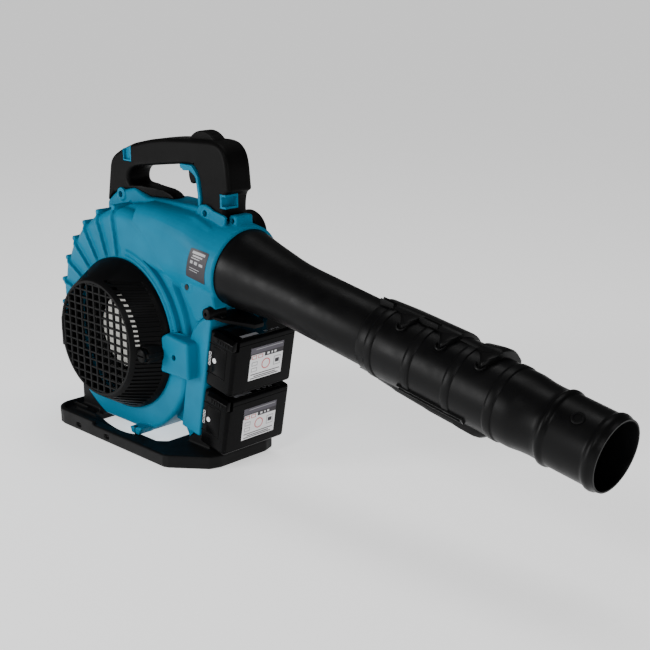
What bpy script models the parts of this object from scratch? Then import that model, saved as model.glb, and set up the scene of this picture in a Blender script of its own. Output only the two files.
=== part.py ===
"""Hand-held cordless leaf blower with two slide-in battery packs.

Frame: the blower stands on its base loop. +X points the way the nozzle blows, -Y is the
intake side, +Z is up. The origin is on the underside of the base's front bar.
Lengths in this file are millimetres; MM turns them into Blender's metres.
"""
import math

import bmesh
import bpy
from mathutils import Matrix, Vector

MM = 0.001
GAP = 0.3

# nozzle axis: starts at the collar's front face and points forwards and down
COLLAR_X = 50.0
COLLAR_Z = 237.0
PITCH = math.radians(10.3)
COLLAR_R = 51.0
PIPE_ROOT_R = 46.6
PIPE_R = 35.7
PIPE_END = 265.0
SLEEVE_START = 211.0
SLEEVE_R = 38.2
NOZZLE_LENGTH = 498.5
NOZZLE_TIP_R = 36.1
NOZZLE_TRAVEL = 100.0

# fan and volute
FAN_X = -124.0
FAN_Z = 136.0
BODY_HALF = 50.0
WALL = 4.5
VOLUTE_R = 124.0
VOLUTE_GROWTH = 0.273
VOLUTE_FLOOR = 17.5
RIB_COUNT = 6
RIB_STEP = 13.5
RIB_RISE = 4.5
IMPELLER_R = 94.0
INTAKE_R = 92.0
COVER_R = 97.5
COVER_FRONT_R = 71.2
COVER_BACK_Y = -50.9
COVER_FRONT_Y = -90.5
HINGE_X = -226.0
HINGE_Y = -62.0
LOCK_X = -39.0
LOCK_Z = 131.5

# handle
HANDLE_HALF = 18.0
TRIGGER_X = -14.0
TRIGGER_Z = 350.5
DIAL_X = -10.0
DIAL_Z = 359.0
DIAL_R = 30.0

# base
BASE_HALF = 84.0
BASE_HEIGHT = 16.0

# battery packs, in distances along (s) and below (d) the nozzle axis
PACK_S0 = 4.0
PACK_S1 = 47.7
PACK_HALF_Y = 48.0
PACK_WIDTH = 71.0
PACK_TOPS = {"upper": 63.0, "lower": 138.5}
HOLDER_S0 = -33.0
HOLDER_S1 = 3.0
HOLDER_HALF_Y = 40.0
HOLDER_TOP = 66.0
HOLDER_BOTTOM = 204.0

for leftover in list(bpy.data.objects):
    bpy.data.objects.remove(leftover)

parts = bpy.data.collections.new("cordless_leaf_blower")
cutters = bpy.data.collections.new("cutters")
bpy.context.scene.collection.children.link(parts)
bpy.context.scene.collection.children.link(cutters)


# ---------------------------------------------------------------- materials

def material(name, colour, roughness, metallic=0.0):
    mat = bpy.data.materials.new(name)
    mat.use_nodes = True
    shader = mat.node_tree.nodes["Principled BSDF"]
    shader.inputs["Base Color"].default_value = (*colour, 1.0)
    shader.inputs["Roughness"].default_value = roughness
    shader.inputs["Metallic"].default_value = metallic
    return mat


TEAL = (0.0, 0.19, 0.30)
BLACK = (0.012, 0.012, 0.013)
WHITE = (0.72, 0.71, 0.66)
STEEL = (0.55, 0.55, 0.57)
COPPER = (0.62, 0.27, 0.12)
GREEN = (0.02, 0.16, 0.06)


# ------------------------------------------------------------------ shaping

def new_object(name, mesh, finish=None):
    """Put a mesh in the parts collection, or with the cutters when it has no finish."""
    obj = bpy.data.objects.new(name, mesh)
    if finish:
        parts.objects.link(obj)
        mesh.materials.clear()
        mesh.materials.append(material(name + "_finish", *finish))
    else:
        cutters.objects.link(obj)
        obj.hide_render = True
        obj.display_type = "WIRE"
    return obj


def tilt(s, d):
    """World (x, z) of a point s along the nozzle axis and d below it."""
    x = COLLAR_X + s * math.cos(PITCH) - d * math.sin(PITCH)
    z = COLLAR_Z - s * math.sin(PITCH) - d * math.cos(PITCH)
    return (x, z)


def tilted(points):
    return [tilt(s, d) for s, d in points]


def arc(cx, cz, radius, start, end, count):
    """Points on a circle, with angles in degrees from +X towards +Z."""
    step = (end - start) / (count - 1)
    angles = [math.radians(start + i * step) for i in range(count)]
    return [(cx + radius * math.cos(a), cz + radius * math.sin(a)) for a in angles]


def rectangle(x0, z0, x1, z1):
    return [(x0, z0), (x1, z0), (x1, z1), (x0, z1)]


def signed_area(points):
    pairs = zip(points, points[1:] + points[:1])
    return sum(a[0] * b[1] - b[0] * a[1] for a, b in pairs) / 2


def inset(points, distance):
    """Move each side of a closed outline inwards; a negative distance grows it."""
    side = 1 if signed_area(points) > 0 else -1
    moved = []
    count = len(points)
    for i in range(count):
        before = Vector(points[i - 1])
        here = Vector(points[i])
        after = Vector(points[(i + 1) % count])
        first = (here - before).normalized()
        second = (after - here).normalized()
        normal_a = Vector((-first.y, first.x)) * side
        normal_b = Vector((-second.y, second.x)) * side
        bisector = normal_a + normal_b
        scale = 2 * distance / max(bisector.length_squared, 0.4)
        moved.append(tuple(here + bisector * scale))
    return moved


def outline_mesh(name, loops, thickness):
    """A flat outline in local XY, thickened evenly along local Z, as a closed mesh."""
    curve = bpy.data.curves.new(name, "CURVE")
    curve.dimensions = "2D"
    curve.fill_mode = "BOTH"
    curve.extrude = thickness * MM / 2
    for loop in loops:
        spline = curve.splines.new("POLY")
        spline.points.add(len(loop) - 1)
        for point, (u, v) in zip(spline.points, loop):
            point.co = (u * MM, v * MM, 0, 1)
        spline.use_cyclic_u = True
    guide = bpy.data.objects.new(name, curve)
    cutters.objects.link(guide)
    bpy.context.view_layer.update()
    graph = bpy.context.evaluated_depsgraph_get()
    mesh = bpy.data.meshes.new_from_object(guide.evaluated_get(graph))
    bpy.data.objects.remove(guide)
    bpy.data.curves.remove(curve)
    work = bmesh.new()
    work.from_mesh(mesh)
    bmesh.ops.remove_doubles(work, verts=work.verts, dist=1e-6)
    if len(loops) == 1:
        bmesh.ops.dissolve_limit(work, angle_limit=math.radians(0.5), verts=work.verts,
                                 edges=work.edges)
    bmesh.ops.recalc_face_normals(work, faces=work.faces)
    work.to_mesh(mesh)
    work.free()
    return mesh


def slab(name, loops, y_low, y_high, finish=None, bevel=0.0, origin=(0, 0, 0)):
    """An outline in the XZ plane, given as one or more loops, from y_low to y_high."""
    mesh = outline_mesh(name, loops, y_high - y_low)
    upright = Matrix.Rotation(math.pi / 2, 4, "X")
    shift = Matrix.Translation(Vector((0, (y_low + y_high) / 2, 0)) * MM - Vector(origin) * MM)
    mesh.transform(shift @ upright)
    obj = new_object(name, mesh, finish)
    obj.location = Vector(origin) * MM
    if bevel:
        round_edges(obj, bevel)
    return obj


def plan(name, loops, z_low, z_high, finish=None, bevel=0.0):
    """An outline in the XY plane, from z_low to z_high."""
    mesh = outline_mesh(name, loops, z_high - z_low)
    mesh.transform(Matrix.Translation((0, 0, (z_low + z_high) / 2 * MM)))
    obj = new_object(name, mesh, finish)
    if bevel:
        round_edges(obj, bevel)
    return obj


def round_edges(obj, width, segments=2, angle=50):
    """Bevel the sharp edges and bake the result, so later cuts stay crisp."""
    modifier = obj.modifiers.new("rounded", "BEVEL")
    modifier.width = width * MM
    modifier.segments = segments
    modifier.limit_method = "ANGLE"
    modifier.angle_limit = math.radians(angle)
    modifier.use_clamp_overlap = True


def turned(name, profile, place, finish=None, steps=32, closed=True):
    """Turn a (radius, height) profile about local Z and place it with a matrix.

    A closed profile makes a ring. An open one runs from the axis at its top to the
    axis at its bottom and makes a solid of revolution.
    """
    points = [(r * MM, h * MM) for r, h in profile]
    if closed and signed_area(points) > 0:
        points.reverse()
    if not closed and points[0][1] < points[-1][1]:
        points.reverse()
    edges = [(i, i + 1) for i in range(len(points) - 1)]
    if closed:
        edges.append((len(points) - 1, 0))
    mesh = bpy.data.meshes.new(name)
    mesh.from_pydata([(r, 0, h) for r, h in points], edges, [])
    obj = new_object(name, mesh, finish)
    obj.matrix_world = place
    screw = obj.modifiers.new("turned", "SCREW")
    screw.axis = "Z"
    screw.steps = steps
    screw.render_steps = steps
    screw.use_merge_vertices = True
    screw.merge_threshold = 0.00001
    screw.use_smooth_shade = True
    return obj


def along_y(x, z):
    """Placement whose local Z runs along world +Y, through (x, z)."""
    return Matrix.Translation((x * MM, 0, z * MM)) @ Matrix.Rotation(-math.pi / 2, 4, "X")


def along_nozzle():
    """Placement whose local Z runs along the nozzle axis from the collar's front face."""
    turn = Matrix.Rotation(math.pi / 2 + PITCH, 4, "Y")
    return Matrix.Translation((COLLAR_X * MM, 0, COLLAR_Z * MM)) @ turn


def rod(name, x, z, radius, y_low, y_high, finish=None, steps=20):
    """A plain round bar along Y."""
    profile = [(0, y_high), (radius, y_high), (radius, y_low), (0, y_low)]
    return turned(name, profile, along_y(x, z), finish, steps, closed=False)


def post(name, x, y, radius, z_low, z_high, finish=None, steps=16):
    """A plain round bar along Z."""
    place = Matrix.Translation((x * MM, y * MM, 0))
    profile = [(0, z_high), (radius, z_high), (radius, z_low), (0, z_low)]
    return turned(name, profile, place, finish, steps, closed=False)


def block(name, low, high, finish=None, bevel=0.0):
    """A box between two corners."""
    work = bmesh.new()
    bmesh.ops.create_cube(work, size=1.0)
    size = [(b - a) * MM for a, b in zip(low, high)]
    centre = [(a + b) / 2 * MM for a, b in zip(low, high)]
    bmesh.ops.scale(work, vec=size, verts=work.verts)
    bmesh.ops.translate(work, vec=centre, verts=work.verts)
    mesh = bpy.data.meshes.new(name)
    work.to_mesh(mesh)
    work.free()
    obj = new_object(name, mesh, finish)
    if bevel:
        round_edges(obj, bevel)
    return obj


def combine(target, tool, operation):
    modifier = target.modifiers.new(operation.lower(), "BOOLEAN")
    modifier.operation = operation
    modifier.solver = "EXACT"
    modifier.object = tool


def cut(target, *tools):
    """Subtract each tool. Turned tools are spun a little, off the facets they cut."""
    for tool in tools:
        if "turned" in tool.modifiers:
            tool.matrix_world = tool.matrix_world @ Matrix.Rotation(math.radians(2.6), 4, "Z")
        combine(target, tool, "DIFFERENCE")


def join(target, *tools):
    for tool in tools:
        combine(target, tool, "UNION")


def copy_of(source, name, finish):
    """A second object with the same mesh data and the same modifiers."""
    obj = new_object(name, source.data.copy(), finish)
    obj.matrix_world = source.matrix_world
    for old in source.modifiers:
        new = obj.modifiers.new(old.name, old.type)
        for key in old.bl_rna.properties.keys():
            if not old.bl_rna.properties[key].is_readonly:
                setattr(new, key, getattr(old, key))
    return obj


def set_origin(obj, origin):
    """Move an unrotated object's origin to a world point without moving its shape."""
    point = Vector(origin) * MM
    obj.data.transform(Matrix.Translation(obj.location - point))
    obj.location = point


# ------------------------------------------------------------------ housing

def volute_radius(angle):
    """Outer radius of the volute's plain wall at an angle from +X towards +Z."""
    radius = VOLUTE_R
    if 90 <= angle <= 200:
        radius += VOLUTE_GROWTH * (200 - angle)
    low = math.sin(math.radians(angle))
    if low < 0:
        radius = min(radius, (FAN_Z - VOLUTE_FLOOR) / -low)
    return radius


def polar(angle, radius):
    a = math.radians(angle)
    return (FAN_X + radius * math.cos(a), FAN_Z + radius * math.sin(a))


def volute_outline():
    """Spiral from the top round the back and bottom, then the duct to the collar."""
    spiral = [polar(a, volute_radius(a)) for a in range(90, 391, 10)]
    duct = tilted([(-30, 47.5), (-30, -47)])
    return spiral + duct


def rib_outline(index):
    """One overlapping shingle of the rear of the volute."""
    start = 108 + index * RIB_STEP
    end = start + RIB_STEP + 1.5
    outer = [polar(start + t, volute_radius(start) + RIB_RISE - 0.34 * t) for t in (0, 4, 8, 12)]
    inner_end = polar(end, volute_radius(end) - 8)
    return outer + [inner_end, polar(end, 103), polar(start, 103)]


WEB = tilted([(-85, -10), (-2, -10), (-2, 64.8), (-34, 64.8), (-34, 120), (-60, 125), (-90, 60)])
CREST = [(-186, 255), (-186, 295), (-131, 310), (-106, 301.7), (-60, 303), (-9, 303),
         (10, 302), (36, 290), (36, 262)]


def housing_solid():
    """The whole teal body before it is split down its middle plane."""
    body = slab("housing_body", [volute_outline()], -BODY_HALF, BODY_HALF, bevel=9)
    for i in range(RIB_COUNT):
        join(body, slab(f"rib_{i}", [rib_outline(i)], -BODY_HALF - 1.2 - 0.1 * i, BODY_HALF + 1.2 + 0.1 * i))
    join(body, slab("web_body", [WEB], -42, 42))
    join(body, slab("crest_body", [CREST], -19, 19))
    collar = [(0, 0), (COLLAR_R, 0), (COLLAR_R, -62), (0, -62)]
    join(body, turned("collar_body", collar, along_nozzle(), steps=48, closed=False))
    join(body, slab("top_block", [rectangle(37, 270, 50.5, 298.5)], -12, 14))
    lock_block = [(-33, 152), (-21, 157), (19, 153), (17, 108), (-36, 108)]
    join(body, slab("lock_block_left", [lock_block], -62, -40))
    bead = [(98.6, -46), (98.6, -55.5), (102.5, -55.5), (102.5, -46)]
    join(body, turned("intake_bead", bead, along_y(FAN_X, FAN_Z), steps=48))
    for side in (-1, 1):
        near, far = sorted((side * 44, side * 68))
        join(body, block(f"base_lug_{side}", (-96, near, BASE_HEIGHT + GAP), (-74, far, 30)))
    for z_low, z_high in ((112, 120.4), (143.6, 152)):
        join(body, block(f"knuckle_arm_{z_low}", (-230, -61, z_low), (-222.3, -45, z_high)))
        join(body, post(f"knuckle_{z_low}", HINGE_X, HINGE_Y, 4.6, z_low, z_high))
    return body


def housing_cavities():
    """Everything that is hollow or drilled in the teal body."""
    tools = []
    chamber = inset(volute_outline(), WALL)
    tools.append(slab("chamber", [chamber], -BODY_HALF + WALL, BODY_HALF - WALL, bevel=5))
    tools.append(turned("collar_bore", [(0, 3), (PIPE_ROOT_R + 0.6, 3), (PIPE_ROOT_R + 0.6, -28),
                                        (44, -28), (44, -70), (0, -70)],
                        along_nozzle(), steps=48, closed=False))
    tools.append(rod("intake_mouth", FAN_X, FAN_Z, INTAKE_R, -70, -40, steps=48))
    tools.append(rod("motor_mouth", FAN_X, FAN_Z, 34.6, 40, 60, steps=32))
    pocket = tilted([(-30, 58), (-7, 58), (-7, 61), (-30, 61)])
    tools.append(slab("web_pocket", [pocket], -37, 37))
    crest_pocket = [(-176, 268), (-176, 289), (-132, 301), (-106, 296.5), (-106, 285)]
    tools.append(slab("crest_pocket", [inset(crest_pocket, 1.5)], -14, 14))
    holder = rectangle(HOLDER_S0 - GAP, HOLDER_TOP - GAP, HOLDER_S1 + 60, HOLDER_BOTTOM + 60)
    tools.append(slab("holder_room", [tilted(holder)], -HOLDER_HALF_Y - GAP, HOLDER_HALF_Y + GAP))
    tools.append(rod("latch_room", 41, 191, 6.4, -60, -26))
    room = [(0, -50.6), (98.4, -50.6), (98.4, -56), (COVER_FRONT_R + 0.9, -92), (0, -92)]
    tools.append(turned("cover_room", room, along_y(FAN_X, FAN_Z), steps=64, closed=False))
    tools.append(rod("lock_notch", LOCK_X, LOCK_Z, 13, -66, -50.6, steps=24))
    tools.append(rod("lock_hole", LOCK_X, LOCK_Z, 6.2, -60, -40))
    tools.append(post("hinge_bore", HINGE_X, HINGE_Y, 2.2, 105, 160))
    for side in (-1, 1):
        tools.append(post(f"lug_bore_{side}", -85, side * 64, 2.6, 5, 27))
    for name, x, z, mouth, depth in SCREW_SEATS:
        end = mouth + depth + 0.8
        well = [(0, end), (2.3, end), (2.3, mouth + 5.3), (3.9, mouth + 5.3), (3.9, mouth - 30),
                (0, mouth - 30)]
        tools.append(turned(f"{name}_well", well, along_y(x, z), steps=14, closed=False))
    return tools


# name, x, z, y of the head's bearing face, length
SCREW_SEATS = [
    ("rear_handle_screw", -160, 291, -17, 30),
    ("front_handle_screw", 8, 293, -17, 30),
    ("collar_screw", 44, 292, -10, 20),
    ("web_screw", 0, 214, -48, 12),
    ("lock_block_screw", -8, 131, -60, 12),
]


def make_housing():
    whole = housing_solid()
    for tool in housing_cavities():
        cut(whole, tool)
    for name, low, high in (("housing_left", -GAP / 2, 300), ("housing_right", -300, GAP / 2)):
        half = copy_of(whole, name, (TEAL, 0.42))
        cut(half, block(f"{name}_trim", (-400, low, -50), (300, high, 450)))
    for name, x, z, mouth, depth in SCREW_SEATS:
        profile = [(0, mouth + depth), (2.0, mouth + depth), (2.0, mouth + 5), (3.6, mouth + 5),
                   (3.6, mouth + 2), (0, mouth + 2)]
        turned(name, profile, along_y(x, z), (STEEL, 0.35, 0.9), 12, closed=False)


# ------------------------------------------------------------ intake cover

def make_intake_cover():
    wall = [(COVER_R, COVER_BACK_Y), (COVER_R, -54.5), (COVER_FRONT_R, COVER_FRONT_Y),
            (65.5, COVER_FRONT_Y), (65.5, -87.2), (68.4, -87.2), (94.4, -52.6), (94.4, COVER_BACK_Y)]
    cover = turned("intake_cover", wall, along_y(FAN_X, FAN_Z), (BLACK, 0.5), 48)
    cell_x, cell_z, bar = 16.0, 14.0, 3.0
    cells = bmesh.new()
    for i in range(-5, 5):
        for k in range(-5, 6):
            x = FAN_X + (i + 0.5) * cell_x
            z = FAN_Z + k * cell_z
            reach = math.hypot(abs(x - FAN_X) + cell_x / 2 - bar / 2, abs(z - FAN_Z) + cell_z / 2 - bar / 2)
            if reach < 64.5:
                made = bmesh.ops.create_cube(cells, size=1.0)["verts"]
                size = ((cell_x - bar) * MM, 20 * MM, (cell_z - bar) * MM)
                bmesh.ops.scale(cells, vec=size, verts=made)
                bmesh.ops.translate(cells, vec=(x * MM, -89 * MM, z * MM), verts=made)
    cell_mesh = bpy.data.meshes.new("grille_cells")
    cells.to_mesh(cell_mesh)
    cells.free()
    grille = rod("grille_plate", FAN_X, FAN_Z, 67.3, -90.0, -87.7, steps=46)
    cut(grille, new_object("grille_cells", cell_mesh))
    join(cover, grille)
    slope = math.atan2(COVER_R - COVER_FRONT_R, COVER_FRONT_Y + 54.5)
    for k in range(13):
        angle = math.radians(12 + 13 * k)
        centre_r = 84.5
        box = block(f"louvre_{k}", (-8, -15, -2.6), (8, 15, 2.6))
        lean = Matrix.Rotation(math.pi / 2 - (math.pi - abs(slope)) + math.pi / 2, 4, "Z")
        place = Matrix.Translation(Vector((FAN_X + centre_r * math.cos(angle), -71.5,
                                           FAN_Z + centre_r * math.sin(angle))) * MM)
        box.matrix_world = place @ Matrix.Rotation(-angle, 4, "Y") @ lean
        cut(cover, box)
    join(cover, rod("lock_boss", LOCK_X, LOCK_Z, 11, -80, -50.8, steps=24))
    lock_way = [(0, -45), (5.4, -45), (5.4, -80), (8.6, -80), (8.6, -95), (0, -95)]
    cut(cover, turned("lock_bore", lock_way, along_y(LOCK_X, LOCK_Z), steps=24, closed=False))
    join(cover, block("hinge_arm", (-226, -64.5, 121), (-211, -58.5, 143)))
    join(cover, post("hinge_barrel", HINGE_X, HINGE_Y, 4.5, 120.8, 143.2))
    cut(cover, post("cover_hinge_bore", HINGE_X, HINGE_Y, 2.2, 110, 155))
    post("intake_hinge_pin", HINGE_X, HINGE_Y, 1.9, 112, 152, (STEEL, 0.3, 0.9))
    head = [(0, -46.5), (5.0, -46.5), (5.0, -80.3), (8.0, -80.3), (8.0, -86), (5.5, -87), (0, -87)]
    screw = turned("cover_lock_screw", head, along_y(LOCK_X, LOCK_Z), (BLACK, 0.45), 20, closed=False)
    cut(screw, block("screwdriver_slot", (LOCK_X - 6, -90, LOCK_Z - 1), (LOCK_X + 6, -84.5, LOCK_Z + 1)))


# -------------------------------------------------------------- fan, motor

def make_fan():
    hub = [(4.3, -37), (13, -37), (15, 0), (30, 7), (IMPELLER_R, 8), (IMPELLER_R, 10.5), (13, 11),
           (4.3, 11)]
    impeller = turned("impeller", hub, along_y(FAN_X, FAN_Z), (WHITE, 0.4), 40)
    shroud = [(60, -38), (IMPELLER_R, -35), (IMPELLER_R, -33), (60, -36)]
    for k in range(9):
        blade = block(f"blade_{k}", (-24, -35, -1.1), (24, 9, 1.1))
        spin = Matrix.Rotation(math.radians(40 * k), 4, "Y")
        lean = Matrix.Rotation(math.radians(35), 4, "Y")
        centre = Matrix.Translation((FAN_X * MM, 0, FAN_Z * MM))
        blade.matrix_world = centre @ spin @ Matrix.Translation((70 * MM, 0, 0)) @ lean
        join(impeller, blade)
    join(impeller, turned("shroud", shroud, along_y(FAN_X, FAN_Z), steps=40))
    nose = [(0, -62), (18, -59), (32, -51), (38, -43), (38, -41), (0, -41)]
    turned("impeller_nose", nose, along_y(FAN_X, FAN_Z), (WHITE, 0.35), 28, closed=False)
    rod("motor_shaft", FAN_X, FAN_Z, 4.0, -40.6, 68, (STEEL, 0.25, 0.95), 16)
    rotor = [(4.3, 38), (19.5, 38), (19.5, 60), (4.3, 60)]
    turned("motor_rotor", rotor, along_y(FAN_X, FAN_Z), (STEEL, 0.4, 0.8), 24)


def make_motor():
    place = along_y(FAN_X, FAN_Z)
    can = [(31, 32.4), (34, 32.4), (34, 50.4), (46, 50.4), (46, 53), (34, 53), (34, 72), (9.8, 72),
           (9.8, 66), (31, 66)]
    turned("motor_can", can, place, (STEEL, 0.45, 0.8), 32)
    stator = [(20.2, 37), (30.6, 37), (30.6, 61), (20.2, 61)]
    turned("motor_stator", stator, place, (COPPER, 0.4, 0.6), 28)
    bell = [(9.8, 26), (14, 26), (34, 29), (34, 32), (9.8, 32)]
    turned("motor_end_bell", bell, place, (STEEL, 0.45, 0.8), 32)
    for name, low in (("bearing_front", 26.5), ("bearing_rear", 66.3)):
        turned(name, [(4.3, low), (9.4, low), (9.4, low + 5), (4.3, low + 5)], place,
               (STEEL, 0.2, 1.0), 20)
    cover = [(0, 84), (40, 84), (62, 74), (66, 53.6), (66, 51.8), (63, 51.8), (62.6, 54), (59, 72),
             (39, 81), (0, 81)]
    shell = turned("motor_cover", cover, place, (BLACK, 0.5), 36, closed=False)
    for k in range(5):
        vent = block(f"vent_{k}", (FAN_X - 30, 70, FAN_Z - 28 + 12 * k), (FAN_X + 30, 95, FAN_Z - 22 + 12 * k))
        cut(shell, vent)


# ------------------------------------------------------------------ handle

HANDLE_OUTER = [(-186, 295.5), (-177, 338), (-172, 346), (-158, 354), (-131, 364.5), (-97, 372),
                (-68, 376), (-38, 378), (-5, 379.5), (18, 380), (30, 377), (39, 368), (43, 356),
                (46, 326), (38.5, 321), (36.2, 309), (36.2, 291.2), (10, 302.6), (-3.6, 303.6)]
HANDLE_INNER = [(-3.6, 316), (-7.2, 338), (-17, 350.8), (-41, 348.4), (-67, 345), (-92, 341.5),
                (-124, 337.5), (-137, 332), (-142, 324), (-142, 317), (-136, 314), (-116, 313.5),
                (-83, 312), (-71, 309), (-64, 303.6), (-106, 302.3), (-131, 310.6)]


def make_handle():
    outline = HANDLE_OUTER + HANDLE_INNER
    whole = slab("handle_body", [outline], -HANDLE_HALF, HANDLE_HALF, bevel=5)
    grip_room = [(-166, 318), (-160, 341), (-97, 366), (-50, 371), (-48, 354), (-100, 347),
                 (-138, 339), (-148, 328), (-150, 318)]
    cut(whole, slab("grip_room", [grip_room], -13.5, 13.5))
    cut(whole, slab("switch_room", [rectangle(0, 311, 28, 341)], -12, 12))
    dial_room = [p for p in arc(DIAL_X, DIAL_Z, DIAL_R + 0.8, -14, 194, 30)]
    cut(whole, slab("dial_room", [dial_room], -9.6, 9.6))
    trigger_room = [(-43, 336), (-43, 358), (-8, 358), (-5, 346), (-12, 336)]
    cut(whole, slab("trigger_room", [trigger_room], -6.6, 6.6))
    cut(whole, rod("trigger_pin_hole", TRIGGER_X, TRIGGER_Z, 2.2, -13, 13))
    cut(whole, rod("dial_pin_hole", DIAL_X, DIAL_Z, 2.8, -14, 14))
    eye = block("strap_eye_room", (30, -30, 305.7), (60, 1.3, 322.3))
    cut(whole, eye)
    rear_eye = block("rear_eye_room", (-150, -30, 341.7), (-133, -13, 356.3))
    cut(whole, rear_eye)
    for name, low, high in (("handle_left", -GAP / 2, 300), ("handle_right", -300, GAP / 2)):
        half = copy_of(whole, name, (BLACK, 0.55))
        cut(half, block(f"{name}_trim", (-400, low, -50), (300, high, 450)))

    trim_outer = [(-40.7, 347.9), (-21, 349.4), (-8.4, 338), (-4.4, 316), (-4.4, 304.2)]
    trim_inner = [(-9, 303.6), (-9, 316), (-12, 335.5), (-19.5, 345.4), (-31, 344.2), (-39, 344)]
    trim = slab("grip_trim", [trim_outer + trim_inner], -HANDLE_HALF - 0.5, HANDLE_HALF + 0.5, (TEAL, 0.42))
    cut(trim, slab("trim_slot", [[(-44, 330), (-44, 360), (-10, 360), (-14, 340), (-14, 330)]], -6.6, 6.6))

    frame = block("strap_eye_front", (30.4, -18.4, 306), (39.6, 1.0, 322), (TEAL, 0.42))
    cut(frame, block("eye_hollow", (33, -30, 308.4), (60, -1.2, 319.6)))
    rear = block("strap_eye_rear", (-149.7, -18.2, 342), (-133.3, -13.3, 356), (TEAL, 0.42))
    cut(rear, block("rear_hollow", (-147.6, -30, 344), (-135.4, -15.3, 354)))

    shape = [(-11, 352.2), (-36, 351), (-39.5, 346), (-37, 332), (-34, 326), (-30, 325), (-26.5, 328),
             (-24, 338), (-19, 344.3), (-11, 346.8)]
    trigger = slab("trigger", [shape], -5.6, 5.6, (BLACK, 0.5), bevel=1, origin=(TRIGGER_X, 0, TRIGGER_Z))
    cut(trigger, rod("trigger_bore", TRIGGER_X, TRIGGER_Z, 2.2, -10, 10, steps=14))
    rod("trigger_pin", TRIGGER_X, TRIGGER_Z, 1.9, -12.6, 12.6, (STEEL, 0.3, 0.9), 14)

    sector = arc(DIAL_X, DIAL_Z, DIAL_R, 32, 148, 17) + arc(DIAL_X, DIAL_Z, 6, 150, 390, 9)
    dial = slab("cruise_lever", [sector], -8.8, 8.8, (BLACK, 0.5), bevel=1.2, origin=(DIAL_X, 0, DIAL_Z))
    cut(dial, rod("dial_bore", DIAL_X, DIAL_Z, 2.8, -14, 14, steps=14))
    for angle in (62, 76, 90, 104, 118):
        a = math.radians(angle)
        x = DIAL_X + (DIAL_R + 1.6) * math.cos(a)
        z = DIAL_Z + (DIAL_R + 1.6) * math.sin(a)
        cut(dial, rod(f"thumb_groove_{angle}", x, z, 2.4, -6, 6, steps=10))
    rod("cruise_pin", DIAL_X, DIAL_Z, 2.5, -13.4, 13.4, (STEEL, 0.3, 0.9), 14)
    block("trigger_switch", (2, -9, 314), (27, 9, 338), (BLACK, 0.4), bevel=1)


# -------------------------------------------------------------------- base

def make_base():
    rear = -239.0
    half = BASE_HALF
    outer = arc(rear + 26, -half + 26, 26, 180, 270, 5)
    outer += [(-8, -half), (-1, -half + 3), (37, -50), (42, -36), (42, 36), (37, 50), (-1, half - 3),
              (-8, half)]
    outer += arc(rear + 26, half - 26, 26, 90, 180, 5)
    inner = [(-190, -50), (-181, -59), (-50, -59), (-40, -50), (-40, 50), (-50, 59), (-181, 59),
             (-190, 50)]
    base = plan("base_frame", [outer, inner], 0, BASE_HEIGHT, (BLACK, 0.55), bevel=2)
    riser = [(-22, 10)] + [tilt(HOLDER_S0 + 2, HOLDER_BOTTOM + GAP), tilt(HOLDER_S1 - 1, HOLDER_BOTTOM + GAP)]
    riser += [(20, 10)]
    join(base, slab("riser", [riser], -34, 34))
    for side in (-1, 1):
        near, far = sorted((side * 22, side * 44))
        cradle = [(-226, 10), (-226, 44), (-205, 44), (-182, 22), (-182, 10)]
        pad = slab(f"cradle_{side}", [cradle], near, far)
        join(base, pad)
    cut(base, rod("volute_room", FAN_X, FAN_Z, VOLUTE_R + 0.6, -70, 70, steps=64))
    for side in (-1, 1):
        for x in (-180, -120):
            near, far = sorted((side * (half - 4), side * (half + 4)))
            cut(base, block(f"side_slot_{side}_{x}", (x - 5, near, 5.5), (x + 5, far, 10.5)))
        pin = [(0, 26), (2.2, 26), (2.2, 6), (4.2, 6), (4.2, 3), (0, 3)]
        place = Matrix.Translation((-85 * MM, side * 64 * MM, 0))
        cut(base, post(f"screw_well_{side}", -85, side * 64, 4.6, -5, 6.2, steps=14))
        cut(base, post(f"screw_way_{side}", -85, side * 64, 2.5, 3, 30, steps=14))
        turned(f"base_screw_{'left' if side < 0 else 'right'}", pin, place, (STEEL, 0.35, 0.9), 12, closed=False)


# ----------------------------------------------------------- battery side

def pack_box(name, s0, s1, d0, d1, y0, y1, finish=None, bevel=0.0, origin=None):
    start = (0, 0, 0)
    if origin:
        x, z = tilt(*origin[:2])
        start = (x, origin[2], z)
    return slab(name, [tilted(rectangle(s0, d0, s1, d1))], y0, y1, finish, bevel, start)


def make_battery_holder():
    half = HOLDER_HALF_Y
    column = pack_box("battery_holder", HOLDER_S0, HOLDER_S1, HOLDER_TOP, HOLDER_BOTTOM, -half, half,
                      (TEAL, 0.42), 6)
    cut(column, pack_box("holder_hollow", HOLDER_S0 - 5, HOLDER_S1 - 3.5, HOLDER_TOP + 8,
                         HOLDER_BOTTOM - 8, -half + 4, half - 4))
    pack_box("controller_case", -24, -10, 88, 172, -30, 30, (BLACK, 0.5), 1.5)
    pack_box("controller_board", -27.5, -25, 90, 170, -28, 28, (GREEN, 0.5))
    for label, top in PACK_TOPS.items():
        middle = top + PACK_WIDTH / 2
        stem = pack_box(f"terminal_block_{label}", HOLDER_S1 + GAP, 9.4, middle - 13, middle + 13, -25, 40,
                        (BLACK, 0.5))
        join(stem, pack_box(f"rail_head_{label}", 9.0, 12.0, middle - 19, middle + 19, -25, 40))


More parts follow.
